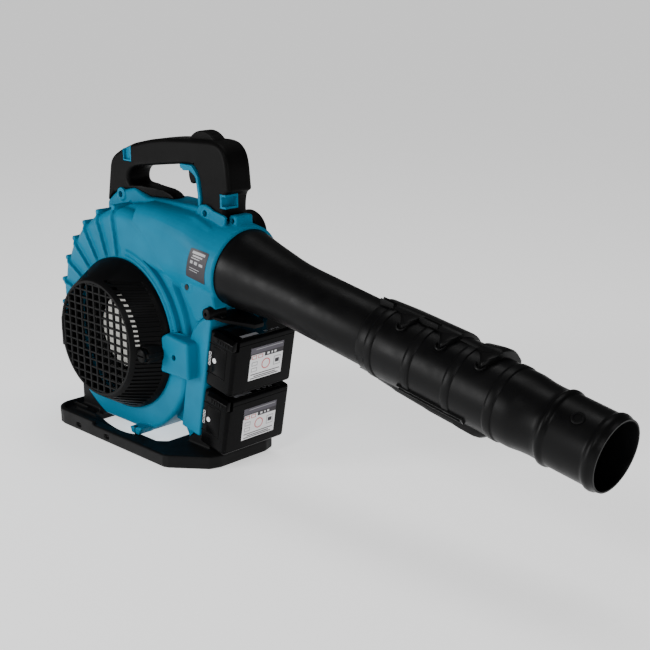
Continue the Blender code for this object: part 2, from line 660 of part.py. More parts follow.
def make_pack(label):
    top = PACK_TOPS[label]
    middle = top + PACK_WIDTH / 2
    half = PACK_HALF_Y
    centre = ((PACK_S0 + PACK_S1) / 2, middle, 0)
    case = pack_box(f"pack_{label}_case", PACK_S0, PACK_S1, top, top + PACK_WIDTH, -half, half,
                    (BLACK, 0.45), 4, centre)
    slot = [(0, middle - 14), (8.2, middle - 14), (8.2, middle - 20), (12.8, middle - 20),
            (12.8, middle + 20), (8.2, middle + 20), (8.2, middle + 14), (0, middle + 14)]
    cut(case, slab(f"rail_slot_{label}", [tilted(slot)], -27, 60))
    cut(case, pack_box(f"button_well_{label}", 13, PACK_S1 - 7, top + 5, top + 17, -60, -half + 7))
    cut(case, pack_box(f"check_well_{label}", 13.6, 20.4, middle - 3.4, middle + 3.4, -60, -half + 3))
    cut(case, pack_box(f"window_well_{label}", 6, 11.4, middle - 9, middle + 9, -60, -half + 1.5))
    button = pack_box(f"pack_{label}_release", 13.4, PACK_S1 - 7.4, top + 5.4, top + 16.6, -half - 2.5,
                      -half + 3.4, (BLACK, 0.4), 1.5, (27, top + 11, -half))
    x, z = tilt(17, middle)
    check = rod(f"pack_{label}_check_button", x, z, 3.0, -half - 0.8, -half + 1.6, (WHITE, 0.4), 16)
    window = pack_box(f"pack_{label}_gauge", 6.4, 11.0, middle - 8.6, middle + 8.6, -half - 0.1, -half + 1.1,
                      (BLACK, 0.2))
    return case, button, check, window


# ------------------------------------------------------------------ nozzle

def make_nozzle():
    pipe = [(44.6, -27), (PIPE_ROOT_R, -27), (PIPE_ROOT_R, 3), (45.2, 16), (40.6, 50), (36.6, 84),
            (PIPE_R, 100), (PIPE_R, PIPE_END), (33.6, PIPE_END), (33.8, 100), (34.6, 84), (43.0, 16)]
    turned("blower_pipe", pipe, along_nozzle(), (BLACK, 0.45), 48)
    start = SLEEVE_START
    bore = PIPE_R + 0.6
    outer = [(37.4, start), (SLEEVE_R, start + 8), (SLEEVE_R, 372), (37.6, 380), (37.9, 399), (36.0, 418),
             (36.0, 432), (38.2, 435), (38.2, 440), (36.6, 443), (36.5, 484), (38.2, 488), (38.2, 493),
             (NOZZLE_TIP_R, NOZZLE_LENGTH)]
    inner = [(33.8, NOZZLE_LENGTH), (34.0, 418), (bore, 400), (bore, start)]
    sleeve = turned("nozzle_extension", outer + inner, along_nozzle(), (BLACK, 0.45), 48)
    for name, angle, s0, s1, top in (("rail_top", 18, 207, 364, 44.4), ("rail_bottom", 198, 240, 366, 44.2)):
        rail = block(name, (-7.5, -(top), s0), (7.5, -36.9, s1))
        rail.matrix_world = along_nozzle() @ Matrix.Rotation(math.radians(90 + angle), 4, "Z")
        join(sleeve, rail)

    arm = tilted([(-2, 43.5), (4, 43.5), (38, 50), (42, 52), (41, 56), (6, 52), (-2, 50.5)])
    lever = slab("nozzle_latch", [arm], -44, -33, (BLACK, 0.5))
    set_origin(lever, (41, 0, 191))
    join(lever, rod("latch_barrel", 41, 191, 5.6, -49, -27))
    cut(lever, rod("latch_bore", 41, 191, 2.3, -60, -20, steps=14))
    rod("latch_pin", 41, 191, 2.0, -49, -27, (STEEL, 0.3, 0.9), 14)


def make_side_cap():
    disc = arc(26, 272, 26, 0, 350, 36)
    cap = slab("collar_cap", [disc], 17, 44, (BLACK, 0.5), bevel=5)
    cut(cap, slab("cap_seat", [inset(volute_outline(), -GAP)], -60, 60))
    cut(cap, slab("cap_crest_seat", [inset(CREST, -GAP)], -19.3, 19.3))
    cut(cap, slab("cap_handle_seat", [rectangle(-60, 290.3, 60, 400)], -30, 18.4))
    collar = [(0, 5), (COLLAR_R + GAP, 5), (COLLAR_R + GAP, -70), (0, -70)]
    cut(cap, turned("cap_collar_seat", collar, along_nozzle(), steps=48, closed=False))
    cut(cap, block("cap_floor", (-50, 0, 200), (100, 60, 272)))


make_housing()
make_intake_cover()
make_fan()
make_motor()
make_handle()
make_base()
make_battery_holder()
for pack_label in PACK_TOPS:
    make_pack(pack_label)
make_nozzle()
make_side_cap()
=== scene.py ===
"""Looks for the hand-held cordless leaf blower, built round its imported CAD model.

Sizes in this script are millimetres in the model's own frame: +X is the way the nozzle
blows, -Y is the intake side and +Z is up.
"""

import math

import bmesh
import bpy
from mathutils import Matrix, Vector
from mathutils.bvhtree import BVHTree


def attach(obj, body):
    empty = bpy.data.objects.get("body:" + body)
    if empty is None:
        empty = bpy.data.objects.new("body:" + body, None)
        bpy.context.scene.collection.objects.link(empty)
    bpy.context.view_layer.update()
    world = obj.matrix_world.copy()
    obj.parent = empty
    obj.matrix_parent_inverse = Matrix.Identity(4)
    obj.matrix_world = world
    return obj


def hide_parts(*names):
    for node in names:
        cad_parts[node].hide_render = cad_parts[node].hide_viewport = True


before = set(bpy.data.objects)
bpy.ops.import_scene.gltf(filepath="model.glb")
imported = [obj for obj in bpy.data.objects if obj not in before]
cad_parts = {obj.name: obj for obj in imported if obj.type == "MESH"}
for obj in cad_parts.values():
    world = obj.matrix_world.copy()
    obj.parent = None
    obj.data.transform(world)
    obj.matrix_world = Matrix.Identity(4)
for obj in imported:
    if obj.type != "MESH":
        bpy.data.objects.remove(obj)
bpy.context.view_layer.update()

MM = 0.001

# how far the camera is turned round the tool and looks down on it, in degrees
CAMERA_TURN, CAMERA_DIP = 44.57, 16.14

# (x, z) of the round collar's centre, and how far the nozzle dips below level
COLLAR = (50.0, 237.0)
PITCH = math.radians(10.3)

# (x, z) of the axes that run across the tool, and the cover's upright hinge line
FAN_X, FAN_Z = -124.0, 136.0
COVER_X, COVER_Z = -119.2, 136.4
LATCH = (41, 191)
LOCK = (-39, 131.5)
HINGE = Matrix.Translation((-0.226, -0.062, 0))

# the snail's smallest radius and how much it grows; its shingled lips, in degrees round the fan
SCROLL_RADIUS, SCROLL_RISE = 124.0, 30.0
LIP_STEP = 13.3
LIPS = [94.5 + LIP_STEP * i for i in range(9)]

GRID_RADIUS = 68.5
PACK_TALL = 71.0

# the battery spine seen from the side: along the nozzle, and up from its axis
SPINE = [(3, -204), (3, -49.5), (-1, -50), (-9, -55.5), (-17.5, -63.5), (-26, -76.5), (-30, -90),
         (-30, -204)]

# the grip seen from the side, in (x, z)
HANDLE_OUTER = [(-187.5, 287.5), (-178.5, 338), (-172, 346), (-158, 354), (-131, 364.5), (-97, 372),
                (-68, 376),
                (-38, 378), (-5, 379.5), (18, 380), (30, 377), (39, 368), (43, 356), (46, 326),
                (38.5, 321),
                (36.2, 309), (36.2, 291.2), (10, 302), (-3.6, 303)]
HANDLE_INNER = [(-3.6, 316), (-7.2, 338), (-17, 350.8), (-41, 348.4), (-67, 345), (-92, 341.5),
                (-124, 337.5),
                (-137, 332), (-142, 324), (-142, 317), (-136, 314), (-116, 313.5), (-83, 312),
                (-71, 309),
                (-64, 303.2), (-106, 301.6), (-131, 309), (-171, 299.6)]


# ------------------------------------------------------------------- camera

def place_camera():
    data = bpy.data.cameras.new("camera")
    data.lens = 66.18
    data.sensor_width = 36.0
    data.clip_start = 0.05
    camera = bpy.data.objects.new("camera", data)
    camera.location = (1.0468, -0.8819, 0.5540)
    camera.rotation_euler = (math.radians(90 - CAMERA_DIP), 0, math.radians(CAMERA_TURN))
    bpy.context.scene.collection.objects.link(camera)
    bpy.context.scene.camera = camera


def area_light(name, spot, target, size, watts, colour=(1, 1, 1)):
    data = bpy.data.lights.new(name, "AREA")
    data.shape = "RECTANGLE"
    data.size, data.size_y = size
    data.energy = watts
    data.color = colour
    lamp = bpy.data.objects.new(name, data)
    lamp.location = spot
    aim = Vector(target) - Vector(spot)
    lamp.rotation_euler = aim.to_track_quat("-Z", "Y").to_euler()
    bpy.context.scene.collection.objects.link(lamp)


def light_studio():
    world = bpy.data.worlds.new("studio")
    world.use_nodes = True
    back = world.node_tree.nodes["Background"]
    back.inputs["Color"].default_value = (1.0, 1.0, 1.0, 1.0)
    back.inputs["Strength"].default_value = 0.09
    bpy.context.scene.world = world
    area_light("key", (0.75, -1.6, 1.45), (-0.02, 0, 0.17), (0.5, 0.5), 10)
    area_light("band", (-0.95, -1.75, 0.62), (0.2, 0, 0.17), (0.6, 0.8), 27)
    area_light("side", (1.9, -0.75, 0.55), (0.15, 0, 0.12), (0.4, 0.5), 6)
    area_light("top", (0.15, 0.45, 1.9), (0.1, 0, 0.15), (1.4, 0.6), 9)


def lay_floor():
    bpy.ops.mesh.primitive_plane_add(size=160, location=(0, 0, -0.0004))
    floor = bpy.context.object
    floor.name = "studio_floor"
    mat = bpy.data.materials.new("floor_white")
    mat.use_nodes = True
    shader = mat.node_tree.nodes["Principled BSDF"]
    shader.inputs["Base Color"].default_value = (0.93, 0.93, 0.93, 1)
    shader.inputs["Roughness"].default_value = 0.9
    shader.inputs["Emission Color"].default_value = (1, 1, 1, 1)
    shader.inputs["Emission Strength"].default_value = 0.85
    floor.data.materials.append(mat)


# ---------------------------------------------------------------- materials

def noise_at(tree, coords, scale, detail=3.0):
    made = tree.nodes.new("ShaderNodeTexNoise")
    made.inputs["Scale"].default_value = scale
    made.inputs["Detail"].default_value = detail
    tree.links.new(coords.outputs["Object"], made.inputs["Vector"])
    return made


def ramp(tree, source, low, high, start, end):
    """Map a value between low and high onto start to end."""
    made = tree.nodes.new("ShaderNodeMapRange")
    made.inputs["From Min"].default_value = low
    made.inputs["From Max"].default_value = high
    made.inputs["To Min"].default_value = start
    made.inputs["To Max"].default_value = end
    tree.links.new(source, made.inputs["Value"])
    return made.outputs["Result"]


def blend_colour(tree, factor, a, b):
    made = tree.nodes.new("ShaderNodeMix")
    made.data_type = "RGBA"
    tree.links.new(factor, made.inputs["Factor"])
    for socket, value in ((made.inputs[6], a), (made.inputs[7], b)):
        if isinstance(value, tuple):
            socket.default_value = (*value, 1)
        else:
            tree.links.new(value, socket)
    return made.outputs[2]


def finish_material(name, colour, roughness, grain=0.1, grain_scale=2200.0, edge_wear_and_highlight=0.3, metallic=0.0,
                    spread=0.06, streak=None, specular=0.5, ior=1.5):
    """Moulded or machined surface: grain, cloudy gloss, tone drift, edge wear with painted edge
    highlight.
    """
    mat = bpy.data.materials.new(name)
    mat.use_nodes = True
    tree = mat.node_tree
    shader = tree.nodes["Principled BSDF"]
    shader.inputs["Metallic"].default_value = metallic
    shader.inputs["Specular IOR Level"].default_value = specular
    shader.inputs["IOR"].default_value = ior
    coords = tree.nodes.new("ShaderNodeTexCoord")
    cloud = noise_at(tree, coords, 22.0)
    drift = ramp(tree, cloud.outputs["Fac"], 0.3, 0.7, 0.0, 1.0)
    dark = tuple(c * 0.9 for c in colour)
    light = tuple(min(1.0, c * 1.08 + 0.001) for c in colour)
    base = blend_colour(tree, drift, dark, light)
    geometry = tree.nodes.new("ShaderNodeNewGeometry")
    # edges lighter by pointiness: partly wear, partly a painted highlight along the rims
    edge = ramp(tree, geometry.outputs["Pointiness"], 0.52, 0.62, 0.0, edge_wear_and_highlight)
    worn_and_highlit = tuple(min(1.0, c * 1.5 + 0.03) for c in colour)
    base = blend_colour(tree, edge, base, worn_and_highlit)
    tree.links.new(base, shader.inputs["Base Color"])
    smear = noise_at(tree, coords, 55.0, 4.0)
    tree.links.new(ramp(tree, smear.outputs["Fac"], 0.3, 0.7, roughness - spread, roughness + spread),
                   shader.inputs["Roughness"])
    fine = noise_at(tree, coords, grain_scale, 2.0)
    if streak:
        stretch = tree.nodes.new("ShaderNodeMapping")
        stretch.inputs["Scale"].default_value = streak
        tree.links.new(coords.outputs["Object"], stretch.inputs["Vector"])
        tree.links.new(stretch.outputs["Vector"], fine.inputs["Vector"])
    bump = tree.nodes.new("ShaderNodeBump")
    bump.inputs["Strength"].default_value = grain
    bump.inputs["Distance"].default_value = 0.0003
    tree.links.new(fine.outputs["Fac"], bump.inputs["Height"])
    tree.links.new(bump.outputs["Normal"], shader.inputs["Normal"])
    return mat


def make_materials():
    make = finish_material
    return {
        "teal": make("teal_moulding", (0.0, 0.160, 0.275), 0.38, 0.04, 1800, 0.35, specular=0.38,
                     ior=1.19),
        "black": make("black_moulding", (0.0028, 0.0028, 0.0030), 0.42, 0.10, 2400, 0.12, ior=1.15),
        "grip": make("grip_moulding", (0.0024, 0.0023, 0.0023), 0.44, 0.2, 2000, 0.12, ior=1.15),
        "foot": make("foot_moulding", (0.0058, 0.0058, 0.0060), 0.5, 0.12, 2200, 0.3, ior=1.2),
        "tube": make("nozzle_moulding", (0.0028, 0.0028, 0.0030), 0.38, 0.06, 2600, 0.12, specular=0.55,
                     ior=1.18),
        "case": make("pack_moulding", (0.0011, 0.0011, 0.0013), 0.22, 0.05, 2400, 0.04, ior=1.13),
        "gloss": make("gloss_black", (0.0020, 0.0020, 0.0022), 0.14, 0.02, 900, 0.1, ior=1.3),
        "white": make("off_white_moulding", (0.86, 0.85, 0.80), 0.38, 0.05, 1500, 0.1),
        "label": make("label_white", (0.86, 0.86, 0.87), 0.4, 0.03, 1200, 0.0),
        "ink_dark": make("label_charcoal", (0.026, 0.022, 0.028), 0.42, 0.05, 1500, 0.0, specular=0.3),
        "ink_grey": make("label_grey", (0.34, 0.34, 0.36), 0.42, 0.05, 1500, 0.0),
        "ink_slate": make("label_slate", (0.085, 0.078, 0.098), 0.42, 0.05, 1500, 0.0, specular=0.3),
        "ink_red": make("label_red", (0.60, 0.07, 0.08), 0.42, 0.04, 1500, 0.0),
        "steel": make("bright_steel", (0.58, 0.58, 0.60), 0.3, 0.05, 1500, 0.2, metallic=1.0,
                      streak=(1, 1, 12)),
        "screw": make("black_oxide_steel", (0.012, 0.011, 0.011), 0.5, 0.08, 1500, 0.1, metallic=0.6),
        "zinc": make("motor_metal", (0.42, 0.42, 0.44), 0.42, 0.12, 900, 0.2, metallic=1.0),
        "copper": make("winding_copper", (0.62, 0.27, 0.12), 0.35, 0.5, 700, 0.2, metallic=1.0,
                       streak=(1, 9, 1)),
        "board": make("circuit_board", (0.02, 0.15, 0.06), 0.4, 0.15, 700, 0.1),
    }


# ------------------------------------------------------------------ meshing

def tilt(s, d):
    """(x, z) of a point s along the nozzle axis and d below it."""
    x = COLLAR[0] + s * math.cos(PITCH) - d * math.sin(PITCH)
    z = COLLAR[1] - s * math.sin(PITCH) - d * math.cos(PITCH)
    return (x, z)


def nozzle_frame():
    """Local X runs along the nozzle and local Z points up from its axis."""
    return Matrix.Translation((COLLAR[0] * MM, 0, COLLAR[1] * MM)) @ Matrix.Rotation(PITCH, 4, "Y")


def along_nozzle():
    """Local Z runs along the nozzle; local -X points up from its axis and +Y stays."""
    turn = Matrix.Rotation(math.pi / 2 + PITCH, 4, "Y")
    return Matrix.Translation((COLLAR[0] * MM, 0, COLLAR[1] * MM)) @ turn


def along_y(x, z):
    return Matrix.Translation((x * MM, 0, z * MM)) @ Matrix.Rotation(-math.pi / 2, 4, "X")


def new_piece(name, work):
    mesh = bpy.data.meshes.new(name)
    bmesh.ops.recalc_face_normals(work, faces=work.faces)
    work.to_mesh(mesh)
    work.free()
    obj = bpy.data.objects.new(name, mesh)
    bpy.context.scene.collection.objects.link(obj)
    return obj


def from_lists(name, verts, faces, place=None):
    work = bmesh.new()
    made = [work.verts.new(Vector(v) * MM) for v in verts]
    for face in faces:
        work.faces.new([made[i] for i in face])
    bmesh.ops.remove_doubles(work, verts=work.verts, dist=1e-7)
    if place:
        bmesh.ops.transform(work, matrix=place, verts=work.verts)
    return new_piece(name, work)


def lathe(name, profile, place, steps=64, closed=True):
    """Turn (radius, height) points about local Z. An open profile starts and ends on the axis."""
    verts, faces = [], []
    count = len(profile)
    for k in range(steps):
        a = 2 * math.pi * k / steps
        verts += [(r * math.cos(a), r * math.sin(a), h) for r, h in profile]
    last = count if closed else count - 1
    for k in range(steps):
        near, far = k * count, (k + 1) % steps * count
        for i in range(last):
            j = (i + 1) % count
            ring = [near + i, near + j, far + j, far + i]
            if not closed and i == 0:
                ring = [near + i, near + j, far + j]
            if not closed and i == last - 1:
                ring = [near + i, near + j, far + i]
            faces.append(ring)
    return from_lists(name, verts, faces, place)


def wall_faces(count):
    """Faces of two matching outlines: both ends, then the wall between them."""
    faces = [list(range(count)), list(range(2 * count - 1, count - 1, -1))]
    faces += [[i, (i + 1) % count, count + (i + 1) % count, count + i] for i in range(count)]
    return faces


def prism(name, outline, low, high, place=None, axis="Y"):
    """A closed outline in XZ (or XY) pushed from low to high."""
    if axis == "Y":
        verts = [(u, low, v) for u, v in outline] + [(u, high, v) for u, v in outline]
    else:
        verts = [(u, v, low) for u, v in outline] + [(u, v, high) for u, v in outline]
    return from_lists(name, verts, wall_faces(len(outline)), place)


def box(name, low, high, place=None):
    outline = [(low[0], low[2]), (high[0], low[2]), (high[0], high[2]), (low[0], high[2])]
    return prism(name, outline, low[1], high[1], place)


def rod(name, x, z, radius, low, high, steps=24):
    profile = [(0, low), (radius, low), (radius, high), (0, high)]
    return lathe(name, profile, along_y(x, z), steps, closed=False)


def bake(obj):
    """Apply every modifier."""
    bpy.context.view_layer.update()
    graph = bpy.context.evaluated_depsgraph_get()
    mesh = bpy.data.meshes.new_from_object(obj.evaluated_get(graph))
    obj.modifiers.clear()
    obj.data = mesh
    return obj


def bevel(obj, width, segments=3, angle=35):
    modifier = obj.modifiers.new("bevel", "BEVEL")
    modifier.width = width * MM
    modifier.segments = segments
    modifier.limit_method = "ANGLE"
    modifier.angle_limit = math.radians(angle)
    modifier.use_clamp_overlap = True
    return bake(obj)


def cut(obj, *tools, solver="EXACT"):
    for tool in tools:
        modifier = obj.modifiers.new("cut", "BOOLEAN")
        modifier.operation = "DIFFERENCE"
        modifier.solver = solver
        modifier.object = tool
    bake(obj)
    for tool in tools:
        bpy.data.objects.remove(tool)
    return obj


def gather(obj, *others):
    """Put other meshes into the first one, as they are."""
    work = bmesh.new()
    work.from_mesh(obj.data)
    for other in others:
        other.data.transform(other.matrix_world)
        work.from_mesh(other.data)
        bpy.data.objects.remove(other)
    work.to_mesh(obj.data)
    work.free()
    return obj


def melt(obj, voxel, rounds=3):
    """Fuse overlapping shapes into one skin with small fillets."""
    remesh = obj.modifiers.new("melt", "REMESH")
    remesh.mode = "VOXEL"
    remesh.voxel_size = voxel * MM
    if rounds:
        smooth = obj.modifiers.new("relax", "SMOOTH")
        smooth.factor = 0.5
        smooth.iterations = rounds
    return bake(obj)


def shade(obj, angle=35):
    bpy.context.view_layer.objects.active = obj
    obj.select_set(True)
    for face in obj.data.polygons:
        face.use_smooth = True
    obj.data.set_sharp_from_angle(angle=math.radians(angle))
    obj.select_set(False)
    return obj


def dress(obj, look, body, nodes, angle=35):
    """Give a piece its finish, its body and the CAD nodes that it stands for."""
    obj.data.materials.clear()
    obj.data.materials.append(looks[look])
    shade(obj, angle)
    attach(obj, body)
    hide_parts(*nodes)


def sheet_of(name, parts):
    """One piece from several shapes, each with its own look; parts are (shape, look) pairs."""
    wanted = []
    for _, look in parts:
        if look not in wanted:
            wanted.append(look)
    work = bmesh.new()
    for shape, look in parts:
        shape.data.transform(shape.matrix_world)
        first = len(work.faces)
        work.from_mesh(shape.data)
        work.faces.ensure_lookup_table()
        for face in work.faces[first:]:
            face.material_index = wanted.index(look)
        bpy.data.objects.remove(shape)
    obj = new_piece(name, work)
    for look in wanted:
        obj.data.materials.append(looks[look])
    return obj


def copy_node(name, new_name):
    """A copy of a CAD node's mesh, to shape further."""
    work = bmesh.new()
    work.from_mesh(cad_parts[name].data)
    bmesh.ops.remove_doubles(work, verts=work.verts, dist=1e-6)
    bmesh.ops.transform(work, matrix=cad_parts[name].matrix_world, verts=work.verts)
    return new_piece(new_name, work)


def soften(points, reach, sharp=()):
    """Round the corners of a closed outline; corners listed in sharp stay crisp."""
    out = []
    count = len(points)
    for i, p in enumerate(points):
        if i in sharp:
            out.append(p)
            continue
        for_side = []
        for other in (points[i - 1], points[(i + 1) % count]):
            gap = math.dist(p, other)
            share = min(reach, 0.45 * gap) / gap
            for_side.append((p[0] + (other[0] - p[0]) * share, p[1] + (other[1] - p[1]) * share))
        start, end = for_side
        for k in range(5):
            u = k / 4
            out.append(tuple((1 - u) ** 2 * start[j] + 2 * u * (1 - u) * p[j] + u * u * end[j]
                             for j in (0, 1)))
    return out


def pushed(points, gap):
    """The outline moved inwards by gap along its corner normals."""
    area = sum(p[0] * q[1] - q[0] * p[1] for p, q in zip(points, points[1:] + points[:1]))
    turn = 1 if area > 0 else -1
    out = []
    for i, p in enumerate(points):
        a, b = points[i - 1], points[(i + 1) % len(points)]
        along = Vector((b[0] - a[0], b[1] - a[1])).normalized()
        out.append((p[0] - along.y * gap * turn, p[1] + along.x * gap * turn))
    return out


def pillow(name, points, half, radius, steps=6):
    """A slab across Y with its rim rounded by a quarter circle."""
    rings = []
    for k in range(steps + 1):
        t = math.radians(90 * k / steps)
        inset_by = radius * (1 - math.sin(t))
        y = -half + radius * (1 - math.cos(t))
        rings.append([(x, y, z) for x, z in pushed(points, inset_by)])
    rings += [[(x, -y, z) for x, y, z in ring] for ring in reversed(rings)]
    return loft(name, rings)


def mix_corners(corners, u, v):
    """The (x, z) point at shares u and v across a four-cornered patch."""
    return tuple((1 - u) * (1 - v) * corners[0][k] + u * (1 - v) * corners[1][k]
                 + u * v * corners[2][k] + (1 - u) * v * corners[3][k] for k in (0, 1))


def cast_patch(name, skin, corners, lift, thick, steps=12):
    """A thin sheet laid on a skin: corners are (x, z) pairs seen from -Y."""
    work = bmesh.new()
    work.from_mesh(skin.data)
    tree = BVHTree.FromBMesh(work)
    work.free()
    grid = []
    for i in range(steps + 1):
        for j in range(steps + 1):
            u, v = i / steps, j / steps
            square = 1 - 0.03 * (2 * u - 1) ** 8 * (2 * v - 1) ** 8
            u, v = 0.5 + (u - 0.5) * square, 0.5 + (v - 0.5) * square
            x, z = mix_corners(corners, u, v)
            start = Vector((x * MM, -0.12, z * MM))
            spot, normal, _, _ = tree.ray_cast(start, Vector((0, 1, 0)))
            grid.append((spot / MM, normal))
    outer = [tuple(s + n * lift) for s, n in grid]
    inner = [tuple(s + n * (lift - thick)) for s, n in grid]
    size = steps + 1
    shift = len(grid)
    faces = []
    for i in range(steps):
        for j in range(steps):
            quad = [i * size + j, i * size + j + 1, (i + 1) * size + j + 1, (i + 1) * size + j]
            faces += [quad, [q + shift for q in reversed(quad)]]
    rim = list(range(size)) + [i * size + steps for i in range(1, size)]
    rim += [steps * size + j for j in range(steps - 1, -1, -1)]
    rim += [i * size for i in range(steps - 1, 0, -1)]
    faces += [[p, q, q + shift, p + shift] for p, q in zip(rim, rim[1:] + rim[:1])]
    return from_lists(name, outer + inner, faces)


def arc(cx, cz, radius, start, end, count):
    step = (end - start) / (count - 1)
    angles = [math.radians(start + i * step) for i in range(count)]
    return [(cx + radius * math.cos(a), cz + radius * math.sin(a)) for a in angles]


# ------------------------------------------------------------ teal housing

def volute_radius(angle):
    radius = SCROLL_RADIUS
    if 90 <= angle <= 200:
        radius += 0.273 * (200 - angle)
    elif angle < 90:
        radius += SCROLL_RISE
    low = math.sin(math.radians(angle))
    if low < 0:
        radius = min(radius + 3.0, (FAN_Z - 17.2) / -low)
    return radius


def lip_height(angle, radius):
    """Shingle relief, from -1 in a groove to 1 on a lip, at an angle and radius."""
    angle -= 2.5 * (radius - 140) / 50
    if angle < LIPS[0] - 3 or angle > LIPS[-1] + LIP_STEP:
        return 0.0
    before = [lip for lip in LIPS if lip <= angle + 1.1]
    since = angle - before[-1] if before else angle - (LIPS[0] - LIP_STEP)
    until = LIP_STEP - since
    if since < -0.5:
        return 0.95
    if since < 0.6:
        return 1.0
    if since < 1.4:
        return 1.0 - (since - 0.6) / 0.8 * 0.8
    fall = 0.2 - 0.75 * (since - 1.4) / 8.5
    if not before:
        fall = 0.0
    if until < 3.0:
        fall = min(fall, -0.75)
    return fall


def volute_body():
    """Loft the polar sections; every section is resampled to the same number of points."""
    angles = [90 + 0.55 * i for i in range(227)]
    while angles[-1] < 447.5:
        angles.append(angles[-1] + 2.5)
    angles[-1] = 450.0
    angles.pop()
    depth = 50.0
    flats = [40] + [84 + 64 * k / 24 for k in range(25)]
    verts = []
    for angle in angles:
        if angle > 395:
            share = min(1.0, (angle - 395) / 45)
            outer = SCROLL_RADIUS + SCROLL_RISE * share
        else:
            outer = volute_radius(angle)
        a = math.radians(angle)
        under = max(0.0, min(1.0, (angle - 212) / 14, (350 - angle) / 14))
        corner = 13.0 - 7.5 * under
        inner_end = outer - corner
        ring = []
        for r in flats:
            ring.append((40 + (inner_end - 40) * (r - 40) / 108, 0.0))
        for k in range(1, 9):
            t = math.radians(90 * k / 8)
            ring.append((inner_end + corner * math.sin(t), corner * (1 - math.cos(t))))
        half = []
        for r, sunk in ring:
            relief = lip_height(angle, r)
            fade = max(0.0, min(1.0, (r - 92) / 6))
            part = sunk / corner
            out = (4.6 if relief > 0 else 2.8) * relief * fade * part
            face = (3.0 if relief > 0 else 2.4) * relief * fade * (1 - part)
            half.append((r + out, depth - sunk + face))
        section = [(r, -y) for r, y in half] + [(r, y) for r, y in reversed(half)]
        verts += [(FAN_X + r * math.cos(a), y, FAN_Z + r * math.sin(a)) for r, y in section]
    size = 2 * (len(flats) + 8)
    faces = []
    total = len(angles)
    for k in range(total):
        near, far = k * size, (k + 1) % total * size
        for i in range(size):
            j = (i + 1) % size
            faces.append([near + i, near + j, far + j, far + i])
    return from_lists("housing_skin", verts, faces)


def superellipse(half_y, half_z, power, count=48):
    points = []
    for k in range(count):
        a = 2 * math.pi * k / count
        c, s = math.cos(a), math.sin(a)
        y = half_y * math.copysign(abs(c) ** (2 / power), c)
        z = half_z * math.copysign(abs(s) ** (2 / power), s)
        points.append((y, z))
    return points


def loft(name, sections, place=None):
    """Join rings of (x, y, z) points with the same count and cap both ends."""
    size = len(sections[0])
    verts = [p for section in sections for p in section]
    faces = [list(range(size)), list(range(len(verts) - 1, len(verts) - size - 1, -1))]
    for k in range(len(sections) - 1):
        near, far = k * size, (k + 1) * size
        for i in range(size):
            j = (i + 1) % size
            faces.append([near + i, near + j, far + j, far + i])
    return from_lists(name, verts, faces, place)


def duct_body():
    """From the boxy top of the snail to the round collar."""
    stations = [(-150, 49, 37, 5, 0), (-120, 49.5, 43, 4.5, -1), (-90, 50, 47, 3.6, -1),
                (-62, 50.5, 50, 2.8, 0),
                (-40, 51, 51, 2.2, 0), (-24, 51, 51, 2, 0), (-1.5, 51, 51, 2, 0), (0, 49.6, 49.6, 2, 0)]
    sections = []
    for s, half_y, half_z, power, lift in stations:
        sections.append([(s, y, z + lift) for y, z in superellipse(half_y, half_z, power)])
    return loft("duct", sections, nozzle_frame())


def chamber_outline():
    """Inside of the snail, short of its duct."""
    spiral = []
    for angle in range(90, 450, 6):
        radius = min(volute_radius(angle) if angle < 391 else SCROLL_RADIUS, 140) - 7
        a = math.radians(angle)
        spiral.append((FAN_X + radius * math.cos(a), FAN_Z + radius * math.sin(a)))
    return spiral


def bead(name, low, high, front):
    """Raised rib round the intake, stopping short of the shingled lips."""
    profile = [(low, -40), (low, front + 1.2), (low + 1.2, front), (high - 1.2, front),
               (high, front + 1.4),
               (high, -40)]
    sections = []
    for k in range(97):
        a = math.radians(-8 + 92 * k / 96)
        sections.append([(COVER_X + r * math.cos(a), y, COVER_Z + r * math.sin(a)) for r, y in profile])
    return loft(name, sections)


def valley(side):
    """Hollow between the intake bead and the duct, deeper under the duct's crease."""
    crease = [(-75.4, 235.2), (-66, 232.6), (-48.4, 229.6), (-34, 228)]
    drop = [(-18.5, 217), (-7.5, 201.5), (2.5, 187.5), (10, 176), (14, 165), (8, 157), (-20, 158)]
    ring = arc(COVER_X, COVER_Z, 107.2, 12, 66, 24)
    low = [(x - 3, z - 6.5) for x, z in crease]
    low[0] = (-75, 233.8)
    far = [(x - 3.5, z - 1.5) for x, z in drop]
    outer = crease + drop + ring
    inner = low + far + ring
    return loft("valley", [[(x, 58 * side, z) for x, z in outer],
                           [(x, 50.2 * side, z) for x, z in outer],
                           [(x, 44.9 * side, z) for x, z in inner]])


